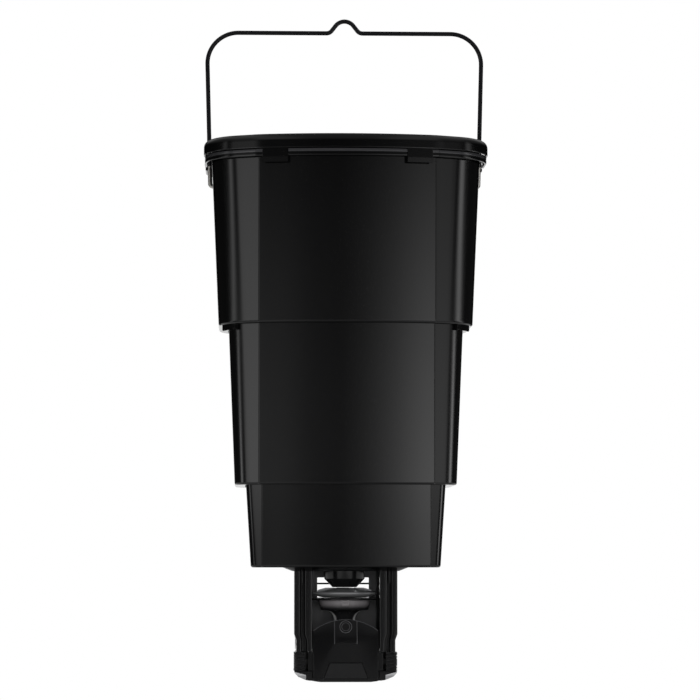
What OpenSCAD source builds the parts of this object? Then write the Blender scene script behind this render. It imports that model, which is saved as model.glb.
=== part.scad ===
// Hanging spin cast feeder: a hopper of three nested tiers on a wire bail,
// with a spinner and a timer unit under it.
// The origin is where a hook carries the bail, under its hump. +Z is up, the front faces -Y.

/* [Bail] */
// Diameter of the bail wire
wire_d = 4.2; // [3.2:0.1:5]
// Rise of the hump above the bar
hump_rise = 14.5; // [12:0.1:20]
// Half the distance between the feet of the hump
hump_foot = 19; // [17:0.5:26]
// Radius of the bend at the top of the hump
hump_r = 13; // [11:0.5:14]
// Height of the bar above the pivots
bail_h = 179.4; // [150:0.1:240]
// Radius of the two upper bends
bail_corner_r = 32; // [20:1:50]
// Radius of the two bends at the pivots
bail_foot_r = 3.2; // [2.8:0.1:5]
// Lean of each leg from upright, in degrees
leg_lean = 1.5; // [0:0.1:2]
// Gap between a leg and the mouth of the upper tier
leg_gap = 0.4; // [0.4:0.1:2]
// Swing of the hopper on the bail to each side, in degrees
bail_swing = 20; // [10:1:24]

/* [Hopper] */
// Wall of the lid and the tiers
wall = 2.2; // [1.6:0.1:3]
// Radius of the bow of the front and back panels
bow_r = 430; // [380:10:900]
// Angle between a flank and the front, in degrees
flank_angle = 24; // [20:1:30]
// Step at each edge of the front panel
panel_step = 0.8; // [0.4:0.1:1.5]
// Reach of the lip under each flange
lip_t = 2.6; // [2:0.1:4]
// Rounding of the lower edge of each tier
edge_r = 2.4; // [1.2:0.1:2.6]
// Clearance between a tier and the next one out
slide_gap = 0.9; // [0.6:0.1:1.4]
// Gap under a flange at rest
seat_gap = 0.3; // [0.2:0.05:0.5]

/* [Lid] */
// Width of the lid
lid_w = 324; // [322:1:330]
// Depth of the lid at its middle
lid_d = 249; // [248:1:258]
// Width of the bowed front of the lid
lid_panel_w = 202; // [180:1:210]
// Run of a corner of the lid across the width
lid_corner = 34; // [30:1:40]
// Height of the raised border over the recessed middle
lid_recess = 2.5; // [1:0.1:4]
// Width of the raised border
lid_border = 22; // [12:1:40]
// Rounding of the upper edge of the lid
lid_round = 3.6; // [2:0.1:4.5]
// Width of a lid tab
tab_w = 28; // [18:1:36]
// Middle of a lid tab from the middle of the front
tab_x = 74.5; // [50:0.5:80]
// Drop of the tabs below the rim
tab_drop = 7.3; // [4:0.1:12]
// Overlap of the lid past the rim band, left and right
side_lap = 1.2; // [0.8:0.1:2.4]
// Overlap of the lid past the rim band, front and back
front_lap = 1.75; // [0.8:0.05:3]
// Travel that lifts the lid clear of the rim
lid_lift = 40; // [34:1:50]

/* [Upper tier] */
// Width of its front panel
upper_panel_w = 198; // [180:1:204]
// Run of its corners across the width
upper_corner = 30; // [27:0.5:33]
// Draft of its walls, in degrees
upper_draft = 2.5; // [2.3:0.1:2.7]
// Length from the rim to the lower edge
upper_len = 185.7; // [174:0.1:200]
// Height of the rim band above the pivots
rim_above_pivot = 20.4; // [14:0.1:26]
// Height of the rim band
rim_h = 6.8; // [6:0.1:10]
// Reach of the rim band beyond the wall
rim_reach = 8; // [6:0.1:8.4]
// Height of the mouth above the rim band
mouth_h = 12; // [9:0.5:16]
// Height of the lugs under the corners
lug_h = 6.5; // [3:0.1:9]
// Thickness of the lugs, out from the middle tier
lug_t = 4.2; // [3:0.1:4.8]

/* [Middle tier] */
// Width of the middle tier where it leaves the upper one
middle_w = 266.3; // [260:0.1:268]
// Depth of the middle tier where it leaves the upper one
middle_d = 193; // [188:1:195]
// Width of its front panel
middle_panel_w = 197; // [180:1:200]
// Run of its corners across the width
middle_corner = 17; // [15:0.5:20]
// Draft of its walls, in degrees
middle_draft = 2.3; // [2:0.05:2.5]
// Length below the upper tier
middle_len = 180.8; // [170:0.1:190]

/* [Lower tier] */
// Width of the lower tier where it leaves the middle one
lower_w = 226; // [221:0.2:228]
// Depth of the lower tier where it leaves the middle one
lower_d = 156; // [150:1:158]
// Width of its front panel
lower_panel_w = 190; // [176:1:192]
// Run of its corners across the width
lower_corner = 8; // [7:0.5:10]
// Draft of its walls, in degrees
lower_draft = 3.5; // [3:0.1:3.7]
// Length below the middle tier
lower_len = 93; // [86:0.1:110]
// Thickness of the floor
floor_t = 2.4; // [2:0.1:4]

/* [Feed funnel] */
// Radius of the throat ring
throat_r = 23.1; // [20:0.1:25]
// Radius of the outlet
outlet_r = 14; // [12:0.1:16]
// Length of the straight ring under the floor
ring_len = 13; // [11:0.1:14]
// Length of the cone
cone_len = 9.5; // [7:0.1:10]
// Wall of the funnel
funnel_wall = 1.6; // [1.2:0.1:2.4]
// Width of the funnel's plate on the floor
plate_w = 120; // [112:1:140]
// Depth of the funnel's plate on the floor
plate_d = 104; // [98:1:116]

/* [Unit frame] */
// Width of the unit
unit_w = 116.5; // [113:0.5:120]
// Depth of the unit
unit_d = 104; // [100:1:110]
// Thickness of the bevelled flange
flange_t = 4; // [3:0.1:6]
// Reach of the flange beyond the posts
flange_reach = 12; // [6:0.5:14]
// Width of a front post
post_w = 20; // [18:0.1:20.5]
// Depth of a post
post_d = 18; // [14:0.5:19]
// Set-in of the rear posts and the sides from the front posts
rear_inset = 2; // [1:0.1:2.2]
// Length of the posts below the floor
post_len = 93.9; // [90:0.1:104]
// Width of the window in the rear wall
window_w = 60; // [50:1:66]
// Top of the windows below the floor
window_top = 11.6; // [9:0.1:14]
// Thickness of the side and rear walls
frame_wall = 3; // [2.4:0.1:4]
// Depth of the groove down each front post
groove_depth = 4.5; // [2:0.1:6]
// Step of the lower end of the posts
post_step = 2.4; // [1:0.1:3]
// Diameter of the bar across the rear window
guard_d = 2; // [1.6:0.1:3]
// Diameter of the screws into the posts
post_screw_d = 3.5; // [3:0.1:4]

/* [Spinner] */
// Radius of the spinner dish
spinner_r = 35.5; // [30:0.5:36]
// Height of the spinner dish
spinner_h = 8; // [6:0.1:8.4]
// Sheet of the spinner
spinner_t = 0.8; // [0.6:0.1:1.2]
// Height of the fins over the dish
fin_h = 4; // [2:0.1:4.4]
// Number of fins
fin_count = 4; // [3:1:6]
// Radius of the hub
hub_r = 5; // [4:0.1:6.5]
// Radius of the motor shaft
shaft_r = 1.5; // [1.2:0.05:1.8]

/* [Motor tower] */
// Radius of the deck disc
deck_r = 37.2; // [36:0.1:37.6]
// Thickness of the deck disc
deck_t = 2.5; // [2:0.1:3.2]
// Top of the deck below the floor
deck_top = 34.6; // [34.4:0.1:38]
// Upper radius of the drum under the deck
drum_r = 29.8; // [27:0.1:32]
// Height of the drum
drum_h = 11.2; // [9:0.1:13]
// Outer radius of the neck
neck_r = 12.3; // [12.1:0.1:14]
// Radius of the flare between drum and neck
flare_r = 11.3; // [8:0.1:12]
// Radius of the motor can
motor_r = 10.2; // [9:0.1:10.3]
// Length of the motor can
motor_len = 26; // [22:0.5:28]

/* [Control box] */
// Top of the control box below the floor
box_top = 70.9; // [69.5:0.1:74]
// Depth of the control box in front of the axis
box_front = 44; // [43:0.5:45]
// Depth of the control box behind the axis
box_rear = 46; // [42:0.5:47]
// Wall of the control box
box_wall = 2.2; // [1.8:0.1:2.8]
// Height of the squeeze clips
clip_h = 21.1; // [18:0.1:26]
// Depth of a squeeze clip
clip_d = 34; // [26:1:40]
// Travel of a squeeze clip
clip_travel = 2; // [1:0.1:2.4]
// Number of ribs on a squeeze clip
clip_ribs = 7; // [5:1:9]
// Height of the base pan
base_h = 12.6; // [10:0.1:14]

/* [Front cover] */
// Width of the front cover
cover_w = 72.8; // [68:0.1:75]
// Thickness of the front cover
cover_t = 2.4; // [1.8:0.1:3]
// Rise of the arched top
arch_rise = 12.3; // [8:0.1:14]
// Lean of the upper part, in degrees
cover_lean = 18; // [10:1:22]
// Height of the crease below the top of the arch
crease_drop = 20.9; // [16:0.1:24]
// Width of the raised strap
strap_w = 25.4; // [20:0.2:28]
// Width of the thumb latch at its top
latch_w = 36; // [28:0.5:40]
// Height of the thumb latch
latch_h = 16.8; // [12:0.1:18]
// Diameter of the hinge pin
hinge_d = 2; // [1.6:0.1:2.4]

/* [Timer] */
// Radius of a key
key_r = 3.4; // [2.6:0.1:4]
// Pitch of the keys
key_pitch = 12; // [10.5:0.5:13]
// Travel of a key
key_travel = 0.8; // [0.4:0.1:0.9]
// Radius of a battery cell
cell_r = 7.25; // [7:0.05:7.3]
// Length of a battery cell
cell_len = 50.5; // [48:0.1:51]
// Number of battery cells
cell_count = 4; // [2:1:4]

/* [Hidden] */
$fn = 48;
// Overlap of joined shapes, reach of a cut past a face, and clearances
eps = 0.01;
over = 1;
fit_gap = 0.2;
run_gap = 0.05;

// Levels, down from the hang point
wire_r = wire_d / 2;
bar_z = wire_r - hump_rise;
pivot_z = bar_z - bail_h;
rim_z = pivot_z + rim_above_pivot;
web_z = rim_z + rim_h;
mouth_z = web_z + mouth_h;
lid_under = mouth_z + seat_gap;
lid_top = lid_under + wall + lid_recess;
upper_z = rim_z - upper_len;
middle_z = upper_z - middle_len;
lower_z = middle_z - lower_len;
window_z = lower_z - window_top;
deck_z = lower_z - deck_top;
box_z = lower_z - box_top;
post_z = lower_z - post_len;
clip_gap = 1.5;
clip_z = post_z - clip_gap;
pan_z = clip_z - clip_h;
base_z = pan_z - base_h;

// Rim of the upper tier, under the lid's skirt
upper_w = lid_w - 2 * (rim_reach + side_lap);
upper_d = lid_d - 2 * (rim_reach + front_lap);

// Plan of a tier at a level: half width, half depth, half width of the panel, run of the corner
function upper_plan(z) =
    let (e = (z - rim_z) * tan(upper_draft))
    [upper_w / 2 + e, upper_d / 2 + e, upper_panel_w / 2, upper_corner];
function middle_plan(z) =
    let (e = (z - upper_z) * tan(middle_draft))
    [middle_w / 2 + e, middle_d / 2 + e, middle_panel_w / 2, middle_corner];
function lower_plan(z) =
    let (e = (z - middle_z) * tan(lower_draft))
    [lower_w / 2 + e, lower_d / 2 + e, lower_panel_w / 2, lower_corner];
lid_plan = [lid_w / 2, lid_d / 2, lid_panel_w / 2, lid_corner];

bow_steps = 5;
corner_steps = 9;
sin_f = sin(flank_angle);
cos_f = cos(flank_angle);
tan_f = tan(flank_angle);

// Inset of the panel edge for each millimetre that a plan is drawn in, so that the wall stays even
function panel_inset(p) = (1 - sin_f * tan_f - cos_f) / (p / bow_r - tan_f);

// One quarter of a plan drawn in by inset, from the middle of the front to the side
function quarter(plan, inset) =
    let (
        w = plan[0] - inset,
        d = plan[1] - inset,
        p = plan[2] - panel_inset(plan[2]) * inset,
        flank_x = plan[0] - plan[3] - inset * sin_f,
        bow = 2 * (bow_r - inset),
        flank_y = p * p / bow - d + panel_step + (flank_x - p) * tan_f,
        r = (w - flank_x) / (1 - sin_f),
        sweep = 90 - flank_angle
    )
    concat(
        [for (i = [0 : bow_steps]) let (x = p * i / bow_steps) [x, x * x / bow - d]],
        [[p, p * p / bow - d + panel_step]],
        [for (i = [0 : corner_steps])
            let (a = sweep * (i / corner_steps - 1))
            [w - r + r * cos(a), flank_y + r * cos_f + r * sin(a)]]
    );

// A whole plan at a level, from the middle of the front round by the right
function ring(plan, inset, z) =
    let (q = quarter(plan, inset), n = len(q))
    concat(
        [for (i = [0 : n - 1]) [q[i][0], q[i][1], z]],
        [for (i = [n - 1 : -1 : 0]) [q[i][0], -q[i][1], z]],
        [for (i = [1 : n - 1]) [-q[i][0], -q[i][1], z]],
        [for (i = [n - 1 : -1 : 1]) [-q[i][0], q[i][1], z]]
    );

// Skin through rings of the same number of points, listed from inside the solid's top, down and out
module skin(rings, closed) {
    n = len(rings[0]);
    m = len(rings);
    bands = closed ? m : m - 1;
    sides = [
        for (i = [0 : bands - 1], j = [0 : n - 1], half = [0, 1])
        let (a = i * n, b = (i + 1) % m * n, k = (j + 1) % n)
        half == 0 ? [a + j, a + k, b + j] : [a + k, b + k, b + j]
    ];
    caps = closed ? [] : [[for (j = [n - 1 : -1 : 0]) j], [for (j = [0 : n - 1]) (m - 1) * n + j]];
    polyhedron([for (r = rings) each r], concat(sides, caps), convexity = 8);
}

module both_sides() {
    children();
    mirror([1, 0, 0]) children();
}

module four_corners() {
    both_sides() {
        children();
        mirror([0, 1, 0]) children();
    }
}

module round_rect(w, d, r) {
    square([w - 2 * r, d], center = true);
    square([w, d - 2 * r], center = true);
    for (x = [-1, 1], y = [-1, 1]) translate([x * (w / 2 - r), y * (d / 2 - r)]) circle(r);
}

// A cylinder along Y from y0 to y1
module y_rod(r, y0, y1) {
    translate([0, y0, 0]) rotate([-90, 0, 0]) cylinder(r = r, h = y1 - y0);
}

// A cylinder along X from x0 to x1
module x_rod(r, x0, x1) {
    translate([x0, 0, 0]) rotate([0, 90, 0]) cylinder(r = r, h = x1 - x0);
}

// A box between two corners
module span(a, b) {
    translate(a) cube(b - a);
}

// A profile in X and Z, drawn along Y from y0 to y1
module along_y(y0, y1) {
    translate([0, y1, 0]) rotate([90, 0, 0]) linear_extrude(y1 - y0) children();
}

// A profile in Y and Z, drawn along X from -w/2 to w/2
module along_x(w) {
    rotate([90, 0, 90]) translate([0, 0, -w / 2]) linear_extrude(w) children();
}

// Bail: one wire, with a hump in its bar and a foot bent into each side of the upper tier
leg_x = upper_plan(mouth_z)[0] + leg_gap + wire_r;
pivot_wall = upper_plan(pivot_z)[0];
hump_sweep = 2 * atan(hump_rise / hump_foot);
hump_foot_r = hump_foot / sin(hump_sweep) - hump_r;
corner_cz = bar_z - bail_corner_r;
corner_cx = leg_x + ((corner_cz - mouth_z) * sin(leg_lean) - bail_corner_r) / cos(leg_lean);
foot_cz = pivot_z + bail_foot_r;
foot_cx = leg_x + ((foot_cz - mouth_z) * sin(leg_lean) - bail_foot_r) / cos(leg_lean);
pin_in = 4.5;
pin_end = pivot_wall - wall - pin_in;

wire_sides = 12;
pin_r = wire_r + run_gap;

// Places along a bend of the wire, each with the direction out of the bend, or into it for side -1
function bend(x, z, r, a0, a1, steps, side) = [
    for (i = [0 : steps])
    let (a = a0 + (a1 - a0) * i / steps)
    [x + r * cos(a), z + r * sin(a), side * cos(a), side * sin(a)]
];
half_wire = concat(
    bend(0, wire_r - hump_r, hump_r, 90, 90 - hump_sweep, 6, 1),
    bend(hump_foot, bar_z + hump_foot_r, hump_foot_r, 270 - hump_sweep * 3 / 4, 270, 4, -1),
    bend(corner_cx, corner_cz, bail_corner_r, 90, -leg_lean, 8, 1),
    bend(foot_cx, foot_cz, bail_foot_r, -leg_lean, -90, 4, 1),
    [[(foot_cx + pin_end) / 2, pivot_z, 0, -1]]
);
wire_path = concat(
    [for (i = [len(half_wire) - 1 : -1 : 1]) let (p = half_wire[i]) [-p[0], p[1], -p[2], p[3]]],
    half_wire
);
function wire_ring(p) = [
    for (i = [0 : wire_sides - 1])
    let (t = 360 * i / wire_sides, u = wire_r * cos(t))
    [p[0] + u * p[2], wire_r * sin(t), p[1] + u * p[3]]
];

module bail_wire() {
    color("#141416") {
        skin([for (p = wire_path) wire_ring(p)], false);
        translate([0, 0, pivot_z]) both_sides() x_rod(pin_r, pin_end, foot_cx);
    }
}

// Lid: a plate with a raised border, a skirt over the rim, a rib in the mouth and four tabs
skirt_z = web_z + seat_gap;
notch_x = upper_plan(mouth_z)[0];
notch_gap = 1;
function notch_half(z) =
    (z - pivot_z) * tan(bail_swing) + wire_r / cos(bail_swing) + notch_gap;

module side_notch(half, z0, z1) {
    both_sides() span([notch_x, -half, z0], [lid_w, half, z1]);
}

module lid() {
    round_in = lid_round * (1 - cos(45));
    rib_in = wall + slide_gap;
    mouth_plan = upper_plan(mouth_z);
    rim_plan = upper_plan(rim_z);
    tab_gap = 0.4;
    tab_proud = 0.8;
    tab_edge = 1;
    rib_h = 6;
    tab_z = rim_z - tab_drop;
    color("#1a1b1e") difference() {
        union() {
            skin([
                ring(lid_plan, lid_border + lid_recess, lid_top - lid_recess),
                ring(lid_plan, lid_border, lid_top),
                ring(lid_plan, lid_round, lid_top),
                ring(lid_plan, round_in, lid_top - round_in),
                ring(lid_plan, 0, lid_top - lid_round),
                ring(lid_plan, 0, skirt_z + panel_step),
                ring(lid_plan, panel_step, skirt_z),
                ring(lid_plan, wall, skirt_z),
                ring(lid_plan, wall, lid_under)
            ], false);
            skin([
                ring(mouth_plan, rib_in, lid_under + wall / 2),
                ring(mouth_plan, rib_in, lid_under - rib_h),
                ring(mouth_plan, rib_in + wall, lid_under - rib_h),
                ring(mouth_plan, rib_in + wall, lid_under + wall / 2)
            ], true);
            intersection() {
                skin([
                    ring(lid_plan, -tab_proud, lid_under - wall),
                    ring(lid_plan, -tab_proud, rim_z - tab_edge),
                    ring(lid_plan, 0, tab_z),
                    ring(rim_plan, -rim_reach - tab_gap, tab_z),
                    ring(rim_plan, -rim_reach - tab_gap, lid_under - wall)
                ], true);
                four_corners()
                    span([tab_x - tab_w / 2, -lid_d, tab_z], [tab_x + tab_w / 2, -lid_d / 4, lid_under]);
            }
        }
        side_notch(notch_half(lid_top + lid_lift), tab_z, lid_top + over);
    }
}

// Upper tier: rim band with two beads, tapered wall, inward lip and four lugs under the corners
module upper_tier() {
    rim_plan = upper_plan(rim_z);
    lip_plan = middle_plan(upper_z + lip_t);
    bead = panel_step;
    rim_in = -rim_reach;
    rim_mid = rim_z + rim_h / 2;
    bottom_plan = upper_plan(upper_z);
    corner_r = bottom_plan[3] / (1 - sin_f);
    corner = quarter(bottom_plan, 0);
    lug_r = corner_r - edge_r - panel_step;
    lug_from = 12;
    lug_sweep = 38;
    color("#1b1c20") difference() {
        union() {
            skin([
                ring(upper_plan(mouth_z), wall, mouth_z),
                ring(upper_plan(mouth_z), 0, mouth_z),
                ring(upper_plan(web_z), 0, web_z),
                ring(rim_plan, rim_in + bead / 2, web_z),
                ring(rim_plan, rim_in, web_z - bead / 2),
                ring(rim_plan, rim_in, rim_mid + bead),
                ring(rim_plan, rim_in + bead, rim_mid + bead / 4),
                ring(rim_plan, rim_in + bead, rim_mid - bead / 4),
                ring(rim_plan, rim_in, rim_mid - bead),
                ring(rim_plan, rim_in, rim_z + bead / 2),
                ring(rim_plan, rim_in + bead / 2, rim_z),
                ring(rim_plan, rim_in + wall, rim_z),
                ring(rim_plan, rim_in + wall, web_z - wall),
                ring(upper_plan(web_z - wall), 0, web_z - wall),
                ring(upper_plan(upper_z + edge_r), 0, upper_z + edge_r),
                ring(bottom_plan, edge_r * (1 - cos(45)), upper_z + edge_r * (1 - cos(45))),
                ring(bottom_plan, edge_r, upper_z),
                ring(lip_plan, -slide_gap, upper_z),
                ring(lip_plan, -slide_gap, upper_z + lip_t),
                ring(upper_plan(upper_z + lip_t), wall, upper_z + lip_t)
            ], true);
            four_corners()
                translate([bottom_plan[0] - corner_r, corner[len(corner) - 1][1], upper_z - lug_h])
                rotate([0, 0, -lug_from - lug_sweep])
                rotate_extrude(angle = lug_sweep)
                translate([lug_r - lug_t, 0]) square([lug_t, lug_h + lip_t / 2]);
        }
        side_notch(notch_half(web_z), rim_z - over, web_z + eps);
        translate([0, 0, pivot_z])
            both_sides() x_rod(wire_r + seat_gap, pin_end - over, pivot_wall + over);
    }
}

// Middle tier: a flange that rests on the upper lip, tapered wall and its own inward lip
module middle_tier() {
    rest_z = upper_z + lip_t + seat_gap;
    top_z = rest_z + lip_t;
    flange_plan = upper_plan(rest_z);
    flange_in = wall + slide_gap;
    bottom_plan = middle_plan(middle_z);
    lip_plan = lower_plan(middle_z + lip_t);
    color("#17181b")
        skin([
            ring(middle_plan(top_z), wall, top_z),
            ring(flange_plan, flange_in + panel_step, top_z),
            ring(flange_plan, flange_in, top_z - panel_step),
            ring(flange_plan, flange_in, rest_z),
            ring(middle_plan(rest_z), 0, rest_z),
            ring(middle_plan(upper_z), 0, upper_z),
            ring(middle_plan(middle_z + edge_r), 0, middle_z + edge_r),
            ring(bottom_plan, edge_r * (1 - cos(45)), middle_z + edge_r * (1 - cos(45))),
            ring(bottom_plan, edge_r, middle_z),
            ring(lip_plan, -slide_gap, middle_z),
            ring(lip_plan, -slide_gap, middle_z + lip_t),
            ring(middle_plan(middle_z + lip_t), wall, middle_z + lip_t)
        ], true);
}

// Lower tier: a flange on the middle lip, tapered wall and a floor with the throat hole
floor_z = lower_z + floor_t;
throat_gap = 0.4;
screw_x = plate_w / 2 - 10.5;
screw_y = plate_d / 2 - 9;

module post_screw_holes(z0, z1) {
    four_corners() translate([screw_x, screw_y, z0]) cylinder(d = post_screw_d, h = z1 - z0);
}

module lower_tier() {
    rest_z = middle_z + lip_t + seat_gap;
    top_z = rest_z + lip_t;
    flange_plan = middle_plan(rest_z);
    flange_in = wall + slide_gap;
    bottom_plan = lower_plan(lower_z);
    floor_plan = lower_plan(floor_z);
    color("#1a1b1f") difference() {
        skin([
            ring(floor_plan, wall + edge_r, floor_z),
            ring(lower_plan(floor_z + edge_r), wall, floor_z + edge_r),
            ring(lower_plan(top_z), wall, top_z),
            ring(flange_plan, flange_in + panel_step, top_z),
            ring(flange_plan, flange_in, top_z - panel_step),
            ring(flange_plan, flange_in, rest_z),
            ring(lower_plan(rest_z), 0, rest_z),
            ring(lower_plan(middle_z), 0, middle_z),
            ring(lower_plan(lower_z + edge_r), 0, lower_z + edge_r),
            ring(bottom_plan, edge_r * (1 - cos(45)), lower_z + edge_r * (1 - cos(45))),
            ring(bottom_plan, edge_r, lower_z)
        ], false);
        translate([0, 0, lower_z - over]) cylinder(r = throat_r + throat_gap, h = floor_t + 2 * over);
        post_screw_holes(lower_z - over, floor_z + over);
    }
}

// Feed funnel: a plate on the floor, a ring through the throat hole and a cone over the spinner
plate_t = 2;
plate_z = floor_z + plate_t;
ring_z = lower_z - ring_len;
cone_z = ring_z - cone_len;

module feed_funnel() {
    mouth_r = throat_r + 14;
    plate_round = 8;
    inner_r = throat_r - funnel_wall;
    color("#101113") difference() {
        union() {
            translate([0, 0, floor_z]) linear_extrude(plate_t) round_rect(plate_w, plate_d, plate_round);
            rotate_extrude() polygon([
                [0, floor_z + eps], [throat_r, floor_z + eps], [throat_r, ring_z],
                [outlet_r, cone_z], [0, cone_z]
            ]);
        }
        rotate_extrude() polygon([
            [0, plate_z + over], [mouth_r + over, plate_z + over],
            [mouth_r, plate_z], [inner_r, floor_z], [inner_r, ring_z],
            [outlet_r - funnel_wall, cone_z], [outlet_r - funnel_wall, cone_z - over],
            [0, cone_z - over]
        ]);
        post_screw_holes(floor_z - over, plate_z + over);
    }
}

// Unit frame: bevelled flange, four posts, a rear wall with a window and side walls under windows
half_w = unit_w / 2;
half_d = unit_d / 2;
rear_half = half_w - rear_inset;
post_in = half_w - post_w;
flange_z = lower_z - flange_t;
ridge_w = 8;
groove_x = post_in + ridge_w;
groove_w = 5.5;
post_screw_len = 18;

module front_post() {
    set_back = 1.5;
    y0 = -half_d + set_back;
    bevel = 2;
    lip = 0.6;
    polygon([
        [post_in, -half_d + post_d], [post_in, -half_d + lip], [post_in + lip, -half_d],
        [groove_x - lip, -half_d], [groove_x, -half_d + groove_depth],
        [groove_x + groove_w, -half_d + groove_depth], [groove_x + groove_w + lip, y0],
        [half_w - bevel, y0], [half_w, y0 + bevel], [half_w, -half_d + post_d]
    ]);
}

module rear_post() {
    bevel = 3;
    polygon([
        [window_w / 2, half_d], [window_w / 2, half_d - frame_wall], [post_in, half_d - frame_wall],
        [post_in, half_d - post_d], [rear_half, half_d - post_d], [rear_half, half_d - bevel],
        [rear_half - bevel, half_d]
    ]);
}

module unit_frame() {
    chamfer_top = box_z - 4;
    chamfer_h = 6.8;
    foot_reach = 2;
    flange_round = 10;
    foot_round = 6;
    post_h = flange_z - post_z;
    color("#141518") difference() {
        union() {
            hull() {
                translate([0, 0, lower_z - eps]) linear_extrude(eps)
                    round_rect(unit_w + 2 * flange_reach, unit_d + 2 * flange_reach, flange_round, $fn = 32);
                translate([0, 0, flange_z]) linear_extrude(eps)
                    round_rect(unit_w + 2 * foot_reach, unit_d + 2 * foot_reach, foot_round, $fn = 32);
            }
            both_sides() {
                translate([0, 0, post_z]) linear_extrude(post_h + eps) front_post();
                translate([0, 0, post_z]) linear_extrude(post_h + eps) rear_post();
                span([rear_half - frame_wall, -half_d + post_d - over, post_z],
                     [rear_half, half_d - post_d + over, deck_z]);
                span([rear_half - frame_wall, -half_d + post_d - over, window_z],
                     [rear_half, half_d - post_d + over, flange_z + eps]);
            }
            span([-window_w / 2 - over, half_d - frame_wall, window_z],
                 [window_w / 2 + over, half_d, flange_z + eps]);
            span([-window_w / 2 - over, half_d - frame_wall, post_z],
                 [window_w / 2 + over, half_d, deck_z]);
        }
        both_sides() along_y(-unit_d, unit_d) polygon([
            [half_w + over, chamfer_top + over * chamfer_h / post_step],
            [half_w, chamfer_top], [half_w - post_step, chamfer_top - chamfer_h],
            [half_w - post_step, post_z - over], [half_w + over, post_z - over]
        ]);
        translate([0, 0, flange_z - over])
            cylinder(r = throat_r + throat_gap, h = flange_t + 2 * over);
        post_screw_holes(lower_z - post_screw_len, lower_z + over);
        translate([0, half_d - frame_wall / 2, guard_z])
            x_rod(guard_d / 2, -window_w / 2 - guard_seat, window_w / 2 + guard_seat);
    }
}

// Guard bar: a thin rod across the rear window
guard_drop = 7;
guard_z = window_z - guard_drop;
guard_seat = 4;

module guard_bar() {
    color("#0d0d0f") translate([0, half_d - frame_wall / 2, guard_z])
        x_rod(guard_d / 2, -window_w / 2 - guard_seat, window_w / 2 + guard_seat);
}

// Frame screws: from inside the hopper through plate, floor and flange into the posts
module frame_screws() {
    head_h = 2.2;
    color("silver") four_corners() translate([screw_x, screw_y, 0]) {
        translate([0, 0, lower_z - post_screw_len + over])
            cylinder(d = post_screw_d, h = plate_z - lower_z + post_screw_len - over + eps);
        translate([0, 0, plate_z]) cylinder(r = post_screw_d, h = head_h);
    }
}

// Spinner: a pressed dish with radial fins on a hub that a set screw holds on the motor shaft
dish_gap = 0.8;
dish_z = deck_z + dish_gap;
dish_flat = 0.56 * spinner_r;
hub_top = dish_z + spinner_h;
rim_roll = 0.6;

module spinner_plate() {
    fin_from = hub_r + 11;
    fin_to = spinner_r - 2.5;
    slope = (spinner_h - spinner_t) / (spinner_r - dish_flat);
    function dish_at(r) = dish_z + max(0, r - dish_flat) * slope;
    color("#9c9fa3") {
        rotate_extrude() polygon([
            [hub_r + run_gap, dish_z], [dish_flat, dish_z], [spinner_r, dish_at(spinner_r)],
            [spinner_r, dish_at(spinner_r) + spinner_t + rim_roll],
            [spinner_r - spinner_t, dish_at(spinner_r) + spinner_t + rim_roll],
            [spinner_r - spinner_t, dish_at(spinner_r - spinner_t) + spinner_t],
            [dish_flat, dish_z + spinner_t], [hub_r + run_gap, dish_z + spinner_t]
        ]);
        for (i = [0 : fin_count - 1]) rotate([0, 0, 20 + 360 / fin_count * i])
            along_y(-spinner_t / 2, spinner_t / 2) polygon([
                [fin_from, dish_z + spinner_t / 2], [dish_flat, dish_z + spinner_t / 2],
                [fin_to, dish_at(fin_to) + spinner_t / 2], [fin_to, dish_at(fin_to) + fin_h * 0.7],
                [dish_flat, dish_z + fin_h + 1], [fin_from + 1, dish_z + fin_h + 1],
                [fin_from, dish_z + fin_h]
            ]);
    }
}

module spinner_hub() {
    collar_r = hub_r + 3;
    collar_h = 1.4;
    color("#7c7f84") difference() {
        union() {
            translate([0, 0, dish_z]) cylinder(r = hub_r, h = hub_top - dish_z);
            translate([0, 0, dish_z + spinner_t]) cylinder(r = collar_r, h = collar_h);
        }
        translate([0, 0, dish_z - over]) cylinder(r = shaft_r, h = spinner_h + 2 * over);
        translate([0, 0, hub_top - set_drop]) y_rod(set_r, -hub_r - over, 0);
    }
}

set_drop = 3;
set_r = 1.5;
set_proud = 0.6;

module hub_set_screw() {
    color("#55585c") translate([0, 0, hub_top - set_drop]) y_rod(set_r, -hub_r - set_proud, -shaft_r);
}

module motor_shaft() {
    color("silver") translate([0, 0, shaft_z]) cylinder(r = shaft_r, h = hub_top - shaft_drop - shaft_z);
}

// Motor tower: deck disc, drum and flared neck in one moulding, with the motor inside
motor_drop = 3;
motor_z = deck_z - deck_t - motor_drop;
shaft_drop = 0.5;
motor_end = 4;
shaft_z = motor_z - motor_len + motor_end;
neck_z = deck_z - deck_t - drum_h - flare_r;
motor_boss_r = 3;
motor_boss_h = 2;
foot_r = 19;
foot_t = 2.2;
motor_screw_x = 7;
motor_screw_r = 1.25;
motor_head_h = 1.4;
motor_grip = 3;
tower_screw_at = 15.8;

module tower_screw_places() {
    for (i = [0 : 3]) rotate([0, 0, 45 + 90 * i]) translate([tower_screw_at, 0, 0]) children();
}

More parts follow.
